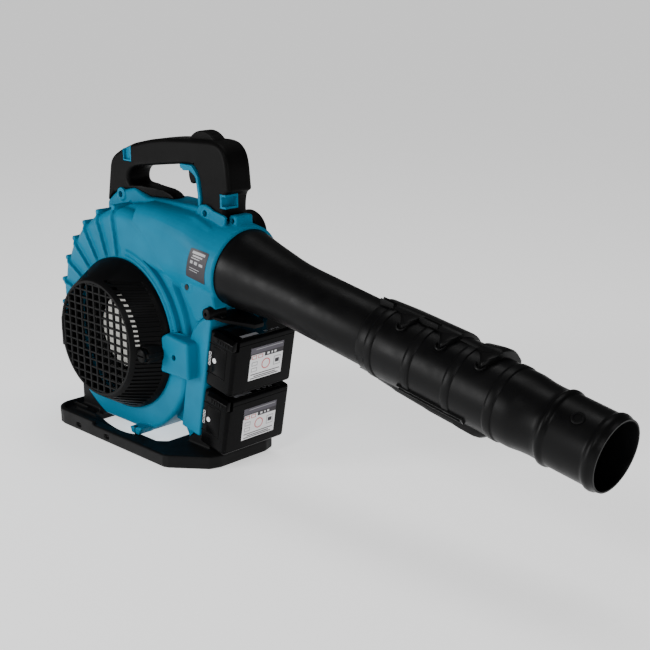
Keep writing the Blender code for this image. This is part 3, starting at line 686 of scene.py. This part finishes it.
def make_housing():
    skin = volute_body()
    crest = [(-186, 240), (-187, 270), (-187, 288), (-171, 300), (-160, 304), (-131, 311),
             (-118, 305.5),
             (-106, 301.5), (-60, 303), (-9, 303), (10, 301.5), (36, 290), (30, 262)]
    shoulder = [(-140, 240), (-140, 289), (-120, 294), (-79, 298), (-45, 298), (0, 294.5), (34, 284),
                (34, 250)]
    flange = [(-9.5, 289), (-6.5, 303), (-2, 306.5), (8, 308), (15, 305.5), (20, 302.5), (37, 299.5),
              (42, 297.5),
              (41, 289), (28, 284), (1.4, 285)]
    web_core = [tilt(-85, 0), tilt(-2, 0), tilt(-2, 64), tilt(-34, 66), tilt(-34, 120), tilt(-60, 125),
                tilt(-90, 60)]
    web_face = [(-34, 236), (-17, 217), (-6, 201.5), (4, 187.5), (13, 174), (20, 176), (30, 184),
                (40, 189), (48, 196), (40, 226), (10, 246)]
    lock_block = [(-33, 151), (-22, 157), (17, 153), (17.5, 108), (-35.5, 108)]
    web_fill = [(-60, 240), (0, 236), (14, 205), (22, 150), (10, 118), (-20, 110), (-40, 180)]
    web_tail = [(-30, 125), (8, 125), (2, 90), (-9, 30), (-16, 24), (-24, 38), (-48, 44), (-40, 80)]
    lug = [(-92, 16.6), (-78, 16.6), (-72, 27), (-96, 24)]
    parts = [
        duct_body(),
        prism("web_fill", web_fill, -38, 38),
        prism("web_tail", web_tail, -36, 36),
        bevel(prism("crest", crest, -18.5, 18.5), 4, 2),
        bevel(prism("shoulder", shoulder, -35, 35), 9, 3),
        bevel(prism("web_core", web_core, -31, 31), 4, 2),
        bevel(prism("web_face", web_face, -45, 45), 2.2, 2),
        bevel(prism("lock_block", lock_block, -62, -38), 3, 2),
        bevel(box("top_block", (37, -12, 270), (50.3, 14, 298.5)), 2.5, 2),
        rod("crest_boss", -154.5, 300.5, 8, -20.5, 20.5),
        rod("web_boss", 3, 216, 6.5, -46, 46),
        rod("front_boss", 8, 297.5, 8.0, -22.5, -10),
        bevel(prism("front_flange", flange, -21.6, -17.6), 0.9, 2),
        bead("bead_a", 96.6, 100.6, -53.4),
        bead("bead_b", 102.6, 106.2, -52.6),
        prism("lug_near", lug, -66, -44),
        prism("lug_far", lug, 44, 66),
        box("arm_low", (-230, -61, 112.3), (-222.4, -45, 120)),
        box("arm_high", (-230, -61, 144), (-222.4, -45, 151.7)),
    ]
    for low, high in ((112.2, 120.2), (143.8, 151.8)):
        knuckle = [(0, low), (4.4, low), (4.4, high), (0, high)]
        parts.append(lathe(f"knuckle_{low}", knuckle, HINGE, 24, closed=False))
    for angle in LIPS:
        a = math.radians(angle)
        reach = volute_radius(angle) + 1.2
        spot = (FAN_X + reach * math.cos(a), FAN_Z + reach * math.sin(a))
        parts.append(rod(f"lip_end_{angle:.0f}", *spot, 3.5, -47, 47, 16))
    gather(skin, *parts)
    melt(skin, 1.12, 3)
    cut(skin, valley(-1), valley(1), solver="MANIFOLD")
    room = [(0, -50.7), (94.7, -50.7), (94.7, -56), (72, -92), (0, -92)]
    bore = [(0, 3), (47.2, 3), (47.2, -28), (43, -31), (0, -31)]
    tools = [
        prism("chamber", chamber_outline(), -42, 42),
        loft("duct_way", [[(s, y, z) for y, z in superellipse(half, half - 4, 2.4)] for s, half in
                          ((-150, 36), (-100, 40), (-60, 42), (-29, 43))], nozzle_frame()),
        lathe("bore", bore, along_nozzle(), 96, closed=False),
        rod("mouth", FAN_X, FAN_Z, 91, -70, -40, 96),
        rod("motor_mouth", FAN_X, FAN_Z, 34.6, 40, 60, 48),
        lathe("cover_room", room, along_y(COVER_X, COVER_Z), 96, closed=False),
        prism("holder_room", pushed(SPINE, -0.3), -44.3, 44.3, nozzle_frame()),
        rod("latch_room", *LATCH, 8.1, -70, -26),
        rod("lock_notch", *LOCK, 13, -66, -50.9, 32),
        rod("lock_hole", *LOCK, 6.2, -60, -40),
        rod("block_hole", -8, 131, 3.6, -66, -54),
        rod("web_hole", 1, 215, 3.4, -50, -42),
        rod("crest_hole", -155, 300, 4.0, -24, -12),
        rod("crest_hole_far", -155, 300, 4.0, 12, 24),
        rod("front_hole", 8, 298, 3.9, -28, -12),
        rod("collar_hole", 43.5, 292.5, 3.2, -16, -8),
        rod("collar_hole_far", 43.5, 292.5, 3.2, 10, 18),
    ]
    cut(skin, *tools, solver="MANIFOLD")
    for name, low, high in (("left", -0.15, 90), ("right", -90, 0.15)):
        half = bpy.data.objects.new(f"shell_{name}", skin.data.copy())
        bpy.context.scene.collection.objects.link(half)
        cut(half, box("split", (-400, low, -50), (300, high, 450)), solver="MANIFOLD")
        dress(half, "teal", "body", [f"housing_{name}"], 40)
    plate = [(14, 263.5), (43.5, 260), (36.5, 223.5), (4, 229.5)]
    marks = [(cast_patch("rating_plate", skin, plate, 0.35, 0.9), "ink_dark")]
    for u0, u1, v0, v1 in ((0.16, 0.84, 0.07, 0.15), (0.22, 0.74, 0.19, 0.24), (0.16, 0.62, 0.28, 0.31),
                           (0.16, 0.30, 0.38, 0.48), (0.38, 0.54, 0.38, 0.48), (0.64, 0.84, 0.39, 0.47),
                           (0.16, 0.70, 0.62, 0.64), (0.16, 0.60, 0.70, 0.72)):
        spots = [mix_corners(plate, u, v) for u, v in ((u0, v0), (u1, v0), (u1, v1), (u0, v1))]
        marks.append((cast_patch(f"mark_{v0}_{u0}", skin, spots, 0.45, 0.3, 3), "ink_grey"))
    label = sheet_of("rating_label", marks)
    shade(label)
    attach(label, "body")
    bpy.data.objects.remove(skin)


# ---------------------------------------------------------------- the rest

def make_holder():
    """Teal spine that carries both pack rails, bulging round at the top."""
    spine = bevel(prism("battery_spine", SPINE, -48, 44, nozzle_frame()), 6, 5, 50)
    cut(spine, rod("latch_seat", *LATCH, 7.9, -70, -20))
    dress(spine, "teal", "body", ["battery_holder"])


def make_latch():
    """Barrel and wide thumb plate under the nozzle's collar."""
    place = nozzle_frame()
    plate = [(-3, -47), (6, -47), (16, -42), (43, -16), (43, -2), (34, 2), (2, 2), (-3, -10)]
    low, high = -51.2, -48.0
    verts = [(s, y, low - 0.10 * max(0, s)) for s, y in plate]
    verts += [(s, y, high - 0.05 * max(0, s)) for s, y in plate]
    lever = bevel(from_lists("latch_lever", verts, wall_faces(len(plate)), place), 0.8, 2)
    barrel = [(2.3, -53), (4.8, -53), (6.6, -52), (7.1, -50.4), (7.1, -27), (2.3, -27)]
    gather(lever, lathe("latch_barrel", barrel, along_y(*LATCH), 40),
           bevel(box("latch_web", (-2, -40, -52.5), (14, -34, -46.9), place), 0.8, 2))
    dress(lever, "black", "latch", ["nozzle_latch"], 40)


def make_nozzle():
    pipe = [(44.8, -26), (46.6, -26), (46.6, 2), (45.9, 9), (44.6, 17), (42.3, 32), (40.0, 50),
            (37.7, 68),
            (36.4, 84), (35.9, 100), (35.7, 264), (35.3, 265), (33.8, 265), (33.8, 100), (34.6, 84),
            (38.2, 50), (43.2, 16)]
    tube = lathe("blower_tube", pipe, along_nozzle(), 128)
    dress(tube, "tube", "body", ["blower_pipe"])

    outer = [(36.3, 211), (37.2, 211), (37.7, 213), (38.05, 218), (38.1, 221.6)]
    for ring in (224, 275, 326, 377):
        outer += [(38.1, ring - 2.2), (38.2, ring - 1.2), (39.0, ring), (39.25, ring + 1.3),
                  (39.2, ring + 7.8),
                  (38.9, ring + 8.6), (38.0, ring + 9.2), (38.0, ring + 10.0), (38.1, ring + 12)]
    outer += [(38.0, 396), (37.9, 400), (37.3, 405), (36.3, 412), (35.7, 420), (35.7, 428), (36.1, 433),
              (37.4, 435), (38.4, 436.6), (38.6, 438.5), (38.3, 440.6), (37.3, 442), (36.7, 443.4),
              (36.6, 445),
              (36.4, 482), (36.5, 483.4), (36.7, 484.6), (37.5, 486), (38.4, 488), (38.6, 490),
              (38.1, 492.4),
              (37.0, 494), (36.6, 496.5), (36.2, 498.5)]
    inner = [(34.6, 498.5), (34.1, 496), (34.0, 420), (35.6, 404), (36.3, 398)]
    sleeve = lathe("nozzle_sleeve", outer + inner, along_nozzle(), 160)
    extras = []

    root = 37.0

    def wrap(name, stations, steps=16):
        """Pad sunk in the sleeve. Each station: s, the angles from the top at its two edges,
        and its radius in the middle and at the edges."""
        sections = []
        for s, near, far, top, foot in stations:
            ring = []
            for i in range(steps + 1):
                u = i / steps
                a = math.radians(near + (far - near) * u)
                lift = foot + (top - foot) * min(1.0, 9 * u, 9 * (1 - u))
                ring.append((s, -lift * math.sin(a), lift * math.cos(a)))
            for i in range(steps, -1, -1):
                a = math.radians(near + (far - near) * i / steps)
                ring.append((s, -root * math.sin(a), root * math.cos(a)))
            sections.append(ring)
        return loft(name, sections, nozzle_frame())

    # the saddle: runs along the top and drops three rounded tongues on the near side
    run = [(207.5, 7, -60, 38.0, 37.6), (210.5, 8, -60, 41.6, 38.6), (226, 8, -60, 42.4, 39.4),
           (243, 8, -60, 43.3, 40.2), (284, 8, -60, 44.0, 40.6), (309.5, 8, -60, 44.4, 41.0),
           (311.5, 7, -60, 44.2, 41.0), (313, 6, -60, 40.4, 39.2), (334, 6, -60, 40.4, 39.2),
           (336, 7, -60, 43.4, 40.4), (352, 8, -60, 46.2, 41.0), (358, 8, -60, 46.6, 42.0),
           (361, 7, -60, 44.8, 42.0), (361.6, 5, -58, 39.2, 38.6)]
    extras.append(wrap("saddle", run))
    for start, end, high in ((236, 260.5, 42.2), (287, 311.5, 43.0), (337, 361.4, 43.8)):
        tongue = []
        for k in range(13):
            u = k / 12
            s = start + (end - start) * u
            if u < 0.8:
                reach = 9 + 27 * math.sin(math.pi * min(1.0, 0.5 * (u / 0.8) ** 1.6))
            else:
                reach = 36 - 22 * (u - 0.8) / 0.2
            top = 38.6 + (high - 38.6) * min(1.0, 1.25 * u)
            tongue.append((s, reach, -4, top, 38.4 + 1.4 * u))
        extras.append(wrap(f"tongue_{start}", tongue, 12))
    for s0, s1 in ((209, 227), (262, 286)):
        for a in (8.4, 2.6):
            extras.append(wrap(f"rib_{s0}_{a}",
                               [(s0, a, a - 1.9, 44.6, 42), (s1, a, a - 1.9, 44.9, 42)], 4))
    for s in (253, 304, 353.5):
        sections = []
        for k in range(17):
            t = math.radians(-10 + 200 * k / 16)
            ring = []
            for j in range(8):
                b = 2 * math.pi * j / 8
                reach = 5.4 + 1.0 * math.cos(b)
                angle = math.radians(32) + reach * math.sin(t) / 38.5
                radius = 39.4 + 1.5 * math.sin(b)
                ring.append((s + reach * math.cos(t), -radius * math.sin(angle),
                             radius * math.cos(angle)))
            sections.append(ring)
        extras.append(loft(f"hook_{s}", sections, nozzle_frame()))
    # long rail frame low on the near side and the rounded keel under the sleeve
    for a in (123, 133):
        extras.append(wrap(f"rail_{a}", [(268, a, a + 2, 40.4, 38.8), (352, a, a + 2, 40.4, 38.8)], 4))
    extras.append(wrap("rail_end", [(350, 123, 135, 40.4, 39.2), (352.4, 123, 135, 40.4, 39.2)], 8))
    keel = []
    for s, top in ((206, 37.4), (212, 38.4), (228, 38.8), (231, 40.2), (250, 41.6), (256, 42.6),
                   (293, 43.8),
                   (300, 44.4), (332, 44.6), (338, 45.2), (357, 45.4), (364, 44.0), (372, 38.4)):
        keel.append((s, 150, 214, top, 37.8))
    extras.append(wrap("keel", keel, 20))
    # small hooked catch near the mouth
    catch = [(0, 34), (6.2, 34), (6.6, 37.2), (6.0, 38.0), (4.4, 38.0), (4.0, 37.2), (0, 37.0)]
    seat = nozzle_frame() @ Matrix.Translation((0.4645, 0, 0))
    seat = seat @ Matrix.Rotation(math.radians(36.5), 4, "X")
    extras.append(lathe("catch", catch, seat, 32, closed=False))
    gather(sleeve, *extras)
    dress(sleeve, "tube", "extension", ["nozzle_extension"], 40)


def lean(obj):
    """Slide the cover's foot towards its seat while the grid end stays."""
    for vert in obj.data.vertices:
        share = max(0.0, min(1.0, (vert.co.y / MM + 90) / 39))
        vert.co.x += (COVER_X - FAN_X) * share * MM
        vert.co.z += (COVER_Z - FAN_Z) * share * MM
    return obj


def make_cover():
    """Cage over the intake: grid front, slatted side and lock boss."""
    place = along_y(FAN_X, FAN_Z)
    wall = [(94, -50.9), (94, -54.5), (92.6, -56.6), (73.6, -87.4), (71.2, -90.5), (68.5, -90.5),
            (67.6, -88.6),
            (70.4, -86.4), (89.4, -55.6), (91, -53.4), (91, -50.9)]
    cage = lathe("intake_cage", wall, place, 128)
    slat_gap, upright_gap, crossbar_gap = 5.6, 13, 9.5
    slots = []
    for k in range(-16, 15):
        z = FAN_Z + slat_gap * k
        if -9 < z - FAN_Z < 3 or z > 212 or z < 48:
            continue
        for low, high in ((16, 110), (-110, -16)):
            slots.append(box(f"slot_{k}", (FAN_X + low, -85.5, z - 1.5),
                             (FAN_X + high, -58.5, z + 1.5)))
    tool = slots[0]
    gather(tool, *slots[1:])
    cut(cage, tool)
    lean(cage)
    band = [(91.2, -55.2), (90.4, -56.6), (75.6, -80.4), (74.6, -79.4), (89.6, -55.2)]
    back = lean(lathe("back_liner", band, place, 96))
    liner = [(91.6, -55.2), (90.8, -56.6), (71.4, -87.6), (70.4, -86.6), (89.8, -55.2)]
    lining = lathe("lining", liner, place, 96)
    lean(lining)
    cut(lining, box("upper", (FAN_X - 120, -100, 131), (FAN_X + 120, -40, 260)))
    extras = [lining, back]
    for i in range(-5, 6):
        x = FAN_X + upright_gap * i
        half = math.sqrt(max(0.0, GRID_RADIUS ** 2 - (upright_gap * i) ** 2))
        if half > 8:
            bar = box(f"upright_{i}", (x - 1.5, -90.2, FAN_Z - half), (x + 1.5, -87.4, FAN_Z + half))
            extras.append(bevel(bar, 0.5, 1))
    for k in range(-7, 8):
        z = FAN_Z + crossbar_gap * k
        half = math.sqrt(max(0.0, GRID_RADIUS ** 2 - (crossbar_gap * k) ** 2))
        if half > 8:
            bar = box(f"crossbar_{k}", (FAN_X - half, -89.8, z - 1.2), (FAN_X + half, -87.0, z + 1.2))
            extras.append(bevel(bar, 0.4, 1))
    boss = [(5.4, -50.9), (11, -50.9), (11, -78), (9.8, -80), (8.8, -80), (8.8, -77.5), (5.4, -77.5)]
    extras.append(lathe("lock_boss", boss, along_y(*LOCK), 40))
    extras.append(bevel(box("finger_tab", (-198, -89.5, 112), (-191.5, -76, 150)), 2, 2))
    extras.append(bevel(box("hinge_arm", (-226, -64.3, 121.4), (-210, -58.6, 142.6)), 1, 2))
    extras.append(lathe("hinge_barrel", [(2.1, 121), (4.4, 121), (4.4, 143), (2.1, 143)],
                        HINGE, 24))
    extras.append(bevel(box("divider", (-56, -84, 129.2), (-27.5, -55.5, 135)), 0.8, 1))
    gather(cage, *extras)
    dress(cage, "black", "cover", ["intake_cover"], 40)


def make_handle():
    """Both halves of the grip as one skin with a shut line down the middle."""
    outline = soften(HANDLE_OUTER + HANDLE_INNER, 9, (0, 13, 16, 17, 18, 33, 34, 35, 36))
    grip = pillow("handle_shell", outline, 18.2, 5.2)
    taper = [(-137, 30), (-137, 18.2), (-118, 13), (-98, 10), (-66, 9), (-56, 12), (-50, 30)]
    melt(grip, 0.95, 0)
    cut(grip, prism("foot_side_near", [(x, -y) for x, y in taper], 280, 314.6, axis="Z"),
        prism("foot_side_far", taper, 280, 314.6, axis="Z"), solver="MANIFOLD")
    melt(grip, 0.95, 4)
    tools = [
        prism("dial_room", arc(-10, 359, 30.8, -14, 194, 40), -9.4, 9.4),
        prism("trigger_room", [(-43, 336), (-43, 358), (-8, 358), (-5, 346), (-12, 336)], -6.2, 6.2),
        box("eye_front", (30, -30, 305.7), (60, 1.3, 322.3)),
        box("eye_rear", (-150, -30, 341.7), (-133, -13, 372)),
        box("post_slot", (37.2, -15, 312), (42, 15, 319)),
        rod("pivot_near", -14, 350.5, 2.6, -24, -16.6),
    ]
    tools += [shut_frame(side, outline) for side in (-0.35, 0.35)]
    cut(grip, *tools, solver="MANIFOLD")
    dress(grip, "grip", "body", ["handle_left", "handle_right"], 40)


def shut_frame(side, outline):
    """Thin frame round the outline, to score a shut line."""
    rim = prism("shut_line", pushed(outline, -6), side - 0.3, side + 0.3)
    return cut(rim, prism("shut_core", pushed(outline, 0.7), -3, 3))


def add_tabs(trim):
    """Thicken the trim's tab on both sides of the trigger."""
    tab = [(-39.6, 348.6), (-34, 342.2), (-21.5, 343.2), (-14, 338.6), (-10, 341), (-19, 349.6),
           (-39, 349.6)]
    gather(trim, prism("tab_near", tab, -18.8, -7), prism("tab_far", tab, 7, 18.8))


def flatten_cap(cap):
    """Squash the cap towards the face that meets the duct."""
    root = 0.017
    for vert in cap.data.vertices:
        vert.co.y = root + (vert.co.y - root) * 0.7


def fill_trigger(trigger):
    """Swell the trigger towards the fingers; its width stays."""
    for vert in trigger.data.vertices:
        share = max(0.0, min(1.0, (-0.022 - vert.co.x) / 0.010))
        share *= max(0.0, min(1.0, (0.349 - vert.co.z) / 0.006))
        vert.co.x -= 0.0026 * share


def refine(name, look, body, voxel, rounds, reshape=None):
    """Replace a CAD node by a softened copy, reshaped first where a function is given."""
    piece = copy_node(name, f"{name}_skin")
    if reshape:
        reshape(piece)
    melt(piece, voxel, rounds)
    dress(piece, look, body, [name], 40)


def make_rear_eye():
    """Strap notch liner, open at the top of the grip."""
    outer = [(-149.6, 342), (-133.4, 342), (-133.4, 361.2), (-149.6, 356.4)]
    liner = bevel(prism("strap_notch", outer, -18.3, -13.3), 0.8, 2)
    hollow = [(-147.9, 344), (-135.1, 344), (-135.1, 372), (-147.9, 372)]
    cut(liner, prism("notch_hollow", hollow, -30, -15))
    dress(liner, "teal", "body", ["strap_eye_rear"])


def make_base():
    """Foot loop with a raised rim round its rear tray."""
    half = 84.0
    skin = copy_node("base_frame", "base_skin")
    outer = arc(-213, 26 - half, 26, 180, 270, 12)
    outer += [(-150, -half), (-150, 6 - half)] + list(reversed(arc(-213, 26 - half, 20, 180, 270, 12)))
    outer[-1] = (-233, 26 - half)
    far = [(x, -y) for x, y in reversed(outer)]
    rims = []
    for points in (outer, far):
        rims.append(prism("rim", points, 12, 20.5, axis="Z"))
    rims.append(box("rim_back", (-239, 24 - half, 12), (-233, half - 24, 20.5)))
    for y in (-52, -30, 30, 52):
        rims.append(box("tray_rib", (-236, y - 1.3, 12), (-205, y + 1.3, 18.5)))
    for side in (-1, 1):
        near, far_y = sorted((side * (half - 24), side * (half - 20)))
        rims.append(box("tray_wall", (-214, near, 12), (-150, far_y, 18.5)))
    gather(skin, *rims)
    melt(skin, 1.15, 4)
    cut(skin, rod("volute_room", FAN_X, FAN_Z, 127.6, -70, 70, 96), solver="MANIFOLD")
    dress(skin, "foot", "body", ["base_frame"], 40)


def make_fan_nose():
    """Off-white hub cover seen behind the grid."""
    dome = [(0, -50.2)] + [(46 * math.sin(math.radians(t)), -44.6 - 5.6 * math.cos(math.radians(t)))
                           for t in range(12, 91, 6)]
    dome += [(46, -42), (43.5, -42), (42, -44), (26, -45.5), (0, -46)]
    nose = lathe("fan_hub_cover", dome, along_y(FAN_X, FAN_Z), 72, closed=False)
    dress(nose, "white", "fan", ["impeller_nose"])


def make_pack(label, top):
    """One slide-in battery pack with its badge plates, gauge and buttons."""
    place = nozzle_frame()
    body = f"pack_{label}"
    middle = top + PACK_TALL / 2
    case = bevel(box(f"{body}_shell", (4.2, -48, -top - PACK_TALL), (47.7, 48, -top), place), 4.5, 5)
    slot = [(0, -middle - 14), (8.2, -middle - 14), (8.2, -middle - 20), (12.8, -middle - 20),
            (12.8, -middle + 20), (8.2, -middle + 20), (8.2, -middle + 14), (0, -middle + 14)]
    check_seat = place @ Matrix.Translation((0.017, 0, -middle * MM))
    tools = [
        prism("rail_slot", slot, -27, 60, place),
        box("release_well", (12.2, -60, -top - 13.6), (48.4, -40.6, -top + 5), place),
        box("window_well", (5.6, -60, -middle - 9.4), (11.6, -46.6, -middle + 9.4), place),
        lathe("check_well", [(0, -60), (3.7, -60), (3.7, -44.6), (0, -44.6)],
              check_seat @ Matrix.Rotation(-math.pi / 2, 4, "X"), 24, closed=False),
        box("lid_line", (47.0, -60, -top - 8.3), (60, 60, -top - 7.6), place),
        box("lid_line_end", (0, 47.3, -top - 8.3), (60, 60, -top - 7.6), place),
        box("belly_line", (40, -60, -top - 67.4), (60, 60, -top - 66.8), place),
    ]
    cut(case, *tools)
    ribs = [case]
    for z0, z1 in ((-top - 17.4, -top - 16.0), (-top - 53.6, -top - 52.4)):
        ribs.append(bevel(box("end_rib", (6, -48.5, z0), (36, -46, z1), place), 0.35, 2))
    ribs.append(bevel(box("end_panel", (14, -48.35, -top - 51.5), (36, -46, -top - 18.4), place), 0.3,
                      2))
    gather(*ribs)
    dress(case, "case", body, [f"{body}_case"])

    wedge = [(-44.2, -top - 0.5), (-46.2, -top - 0.5), (-50.4, -top - 5.2), (-50.4, -top - 12),
             (-49.6, -top - 13),
             (-44.2, -top - 13)]
    verts = [(s, y, z) for s in (12.6, 47.2) for y, z in wedge]
    release = bevel(from_lists(f"{body}_release_skin", verts, wall_faces(len(wedge)), place), 1.3, 3)
    pads = [bevel(box("pad", (20 + 4.4 * i, -50.9, -top - 11.2), (22.4 + 4.4 * i, -49, -top - 6.4),
                      place), 0.4, 2)
            for i in range(5)]
    gather(release, *pads)
    dress(release, "case", f"release_{label}", [f"{body}_release"])

    gauge = [(bevel(box("glass", (6.0, -48.1, -middle - 9), (11.3, -46.8, -middle + 9), place), 0.3, 2),
              "gloss")]
    for i in range(4):
        z = -middle - 6.6 + 4.4 * i
        for low, high in (((7.0, z - 1.7), (10.4, z - 1.3)), ((7.0, z + 1.3), (10.4, z + 1.7)),
                          ((7.0, z - 1.7), (7.5, z + 1.7)), ((9.9, z - 1.7), (10.4, z + 1.7))):
            gauge.append((box("lamp", (low[0], -48.25, low[1]), (high[0], -47.9, high[1]), place),
                          "label"))
    window = sheet_of(f"{body}_gauge_skin", gauge)
    shade(window)
    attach(window, body)
    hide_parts(f"{body}_gauge")

    low = top + (14 if label == "upper" else 16.5)
    badge = []

    def tile(y0, y1, d0, d1, look, lift=0.12):
        badge.append((box("tile", (47.2, y0, -low - d1), (47.7 + lift, y1, -low - d0), place), look))

    tile(-22, 29, 0, 41, "label", 0.10)
    tile(-22, 29, 0, 9, "ink_slate", 0.16)
    tile(-22, 29, 7.6, 13.6, "ink_dark", 0.18)
    tile(-14, 27, 2.2, 3.0, "ink_grey", 0.2)
    tile(-20.5, 0, 9.0, 15.2, "label", 0.24)
    for y in (-19.5, -10):
        tile(y, y + 7.4, 9.8, 14.4, "ink_red", 0.26)
        tile(y + 1.0, y + 6.4, 10.6, 13.6, "label", 0.28)
    for y, width in ((4, 3.4), (10.5, 2.0), (15, 3.2)):
        tile(y, y + width, 9.6, 12.0, "label", 0.24)
    for y, d, wide, tall in ((-19, 18, 9, 5.0), (-19, 25.5, 9, 5.0), (15.4, 17.5, 10.6, 11.4)):
        tile(y, y + wide, d, d + tall, "ink_grey", 0.18)
        tile(y + 0.9, y + wide - 0.9, d + 0.9, d + tall - 0.9, "label", 0.2)
    tile(17.6, 23.8, 20.6, 25.6, "ink_dark", 0.24)
    for d, y0, y1 in ((33.5, -19, 26), (36.2, -14, 20), (38.4, -19, 24)):
        tile(y0, y1, d, d + 1.1, "ink_dark", 0.22)
    ring_seat = place @ Matrix.Translation((0, 3.2 * MM, (-low - 23.5) * MM))
    ring = lathe("mark_ring", [(5.4, 47.2), (6.6, 47.2), (6.6, 47.98), (5.4, 47.98)],
                 ring_seat @ Matrix.Rotation(math.pi / 2, 4, "Y"), 40)
    badge.append((ring, "ink_red"))
    badge.append((box("top_bar", (37.5, -33, -top - 0.4), (42.5, -8, -top + 0.12), place), "ink_grey"))
    badge.append((box("top_plate", (14, -36, -top - 0.4), (44.5, 36, -top + 0.06), place), "gloss"))
    for y in (2, 12, 20):
        badge.append((box("top_mark", (38.6, y, -top - 0.4), (41.2, y + 5, -top + 0.12), place),
                      "ink_grey"))
    label_piece = sheet_of(f"{body}_badges", badge)
    shade(label_piece)
    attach(label_piece, body)


def carry_over():
    """Give the CAD pieces that keep their shape a finish."""
    groups = {
        "gloss": ("controller_case", "trigger_switch"),
        "board": ("controller_board",),
        "copper": ("motor_stator",),
        "zinc": ("motor_can", "motor_end_bell", "motor_rotor"),
        "black": ("impeller",),
        "white": ("impeller_nose",),
        "screw": ("base_screw_left", "base_screw_right", "collar_screw", "front_handle_screw",
                  "rear_handle_screw", "web_screw", "lock_block_screw", "latch_pin",
                  "trigger_pin", "cruise_pin", "intake_hinge_pin"),
    }
    plan = {name: look for look, names in groups.items() for name in names}
    for name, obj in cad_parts.items():
        look = plan.get(name)
        if not look and "check_button" in name:
            look = "label"
        if not look and name.startswith("terminal_block"):
            look = "gloss"
        obj.data.materials.clear()
        obj.data.materials.append(looks[look or "steel"])


looks = make_materials()
place_camera()
light_studio()
lay_floor()
carry_over()
make_housing()
make_holder()
make_nozzle()
make_cover()
make_handle()
make_rear_eye()
make_fan_nose()
make_latch()
make_base()
for pack_label, pack_top in (("upper", 63.0), ("lower", 138.5)):
    make_pack(pack_label, pack_top)
for part, look_name, rides, size, relax, change in (
        ("collar_cap", "black", "body", 0.9, 4, flatten_cap),
        ("motor_cover", "black", "body", 1.0, 3, None),
        ("trigger", "black", "trigger", 0.5, 4, fill_trigger),
        ("cruise_lever", "grip", "cruise", 0.6, 5, None),
        ("cover_lock_screw", "black", "lock_screw", 0.5, 3, None),
        ("grip_trim", "teal", "body", 0.6, 4, add_tabs),
        ("strap_eye_front", "teal", "body", 0.4, 3, None)):
    refine(part, look_name, rides, size, relax, change)
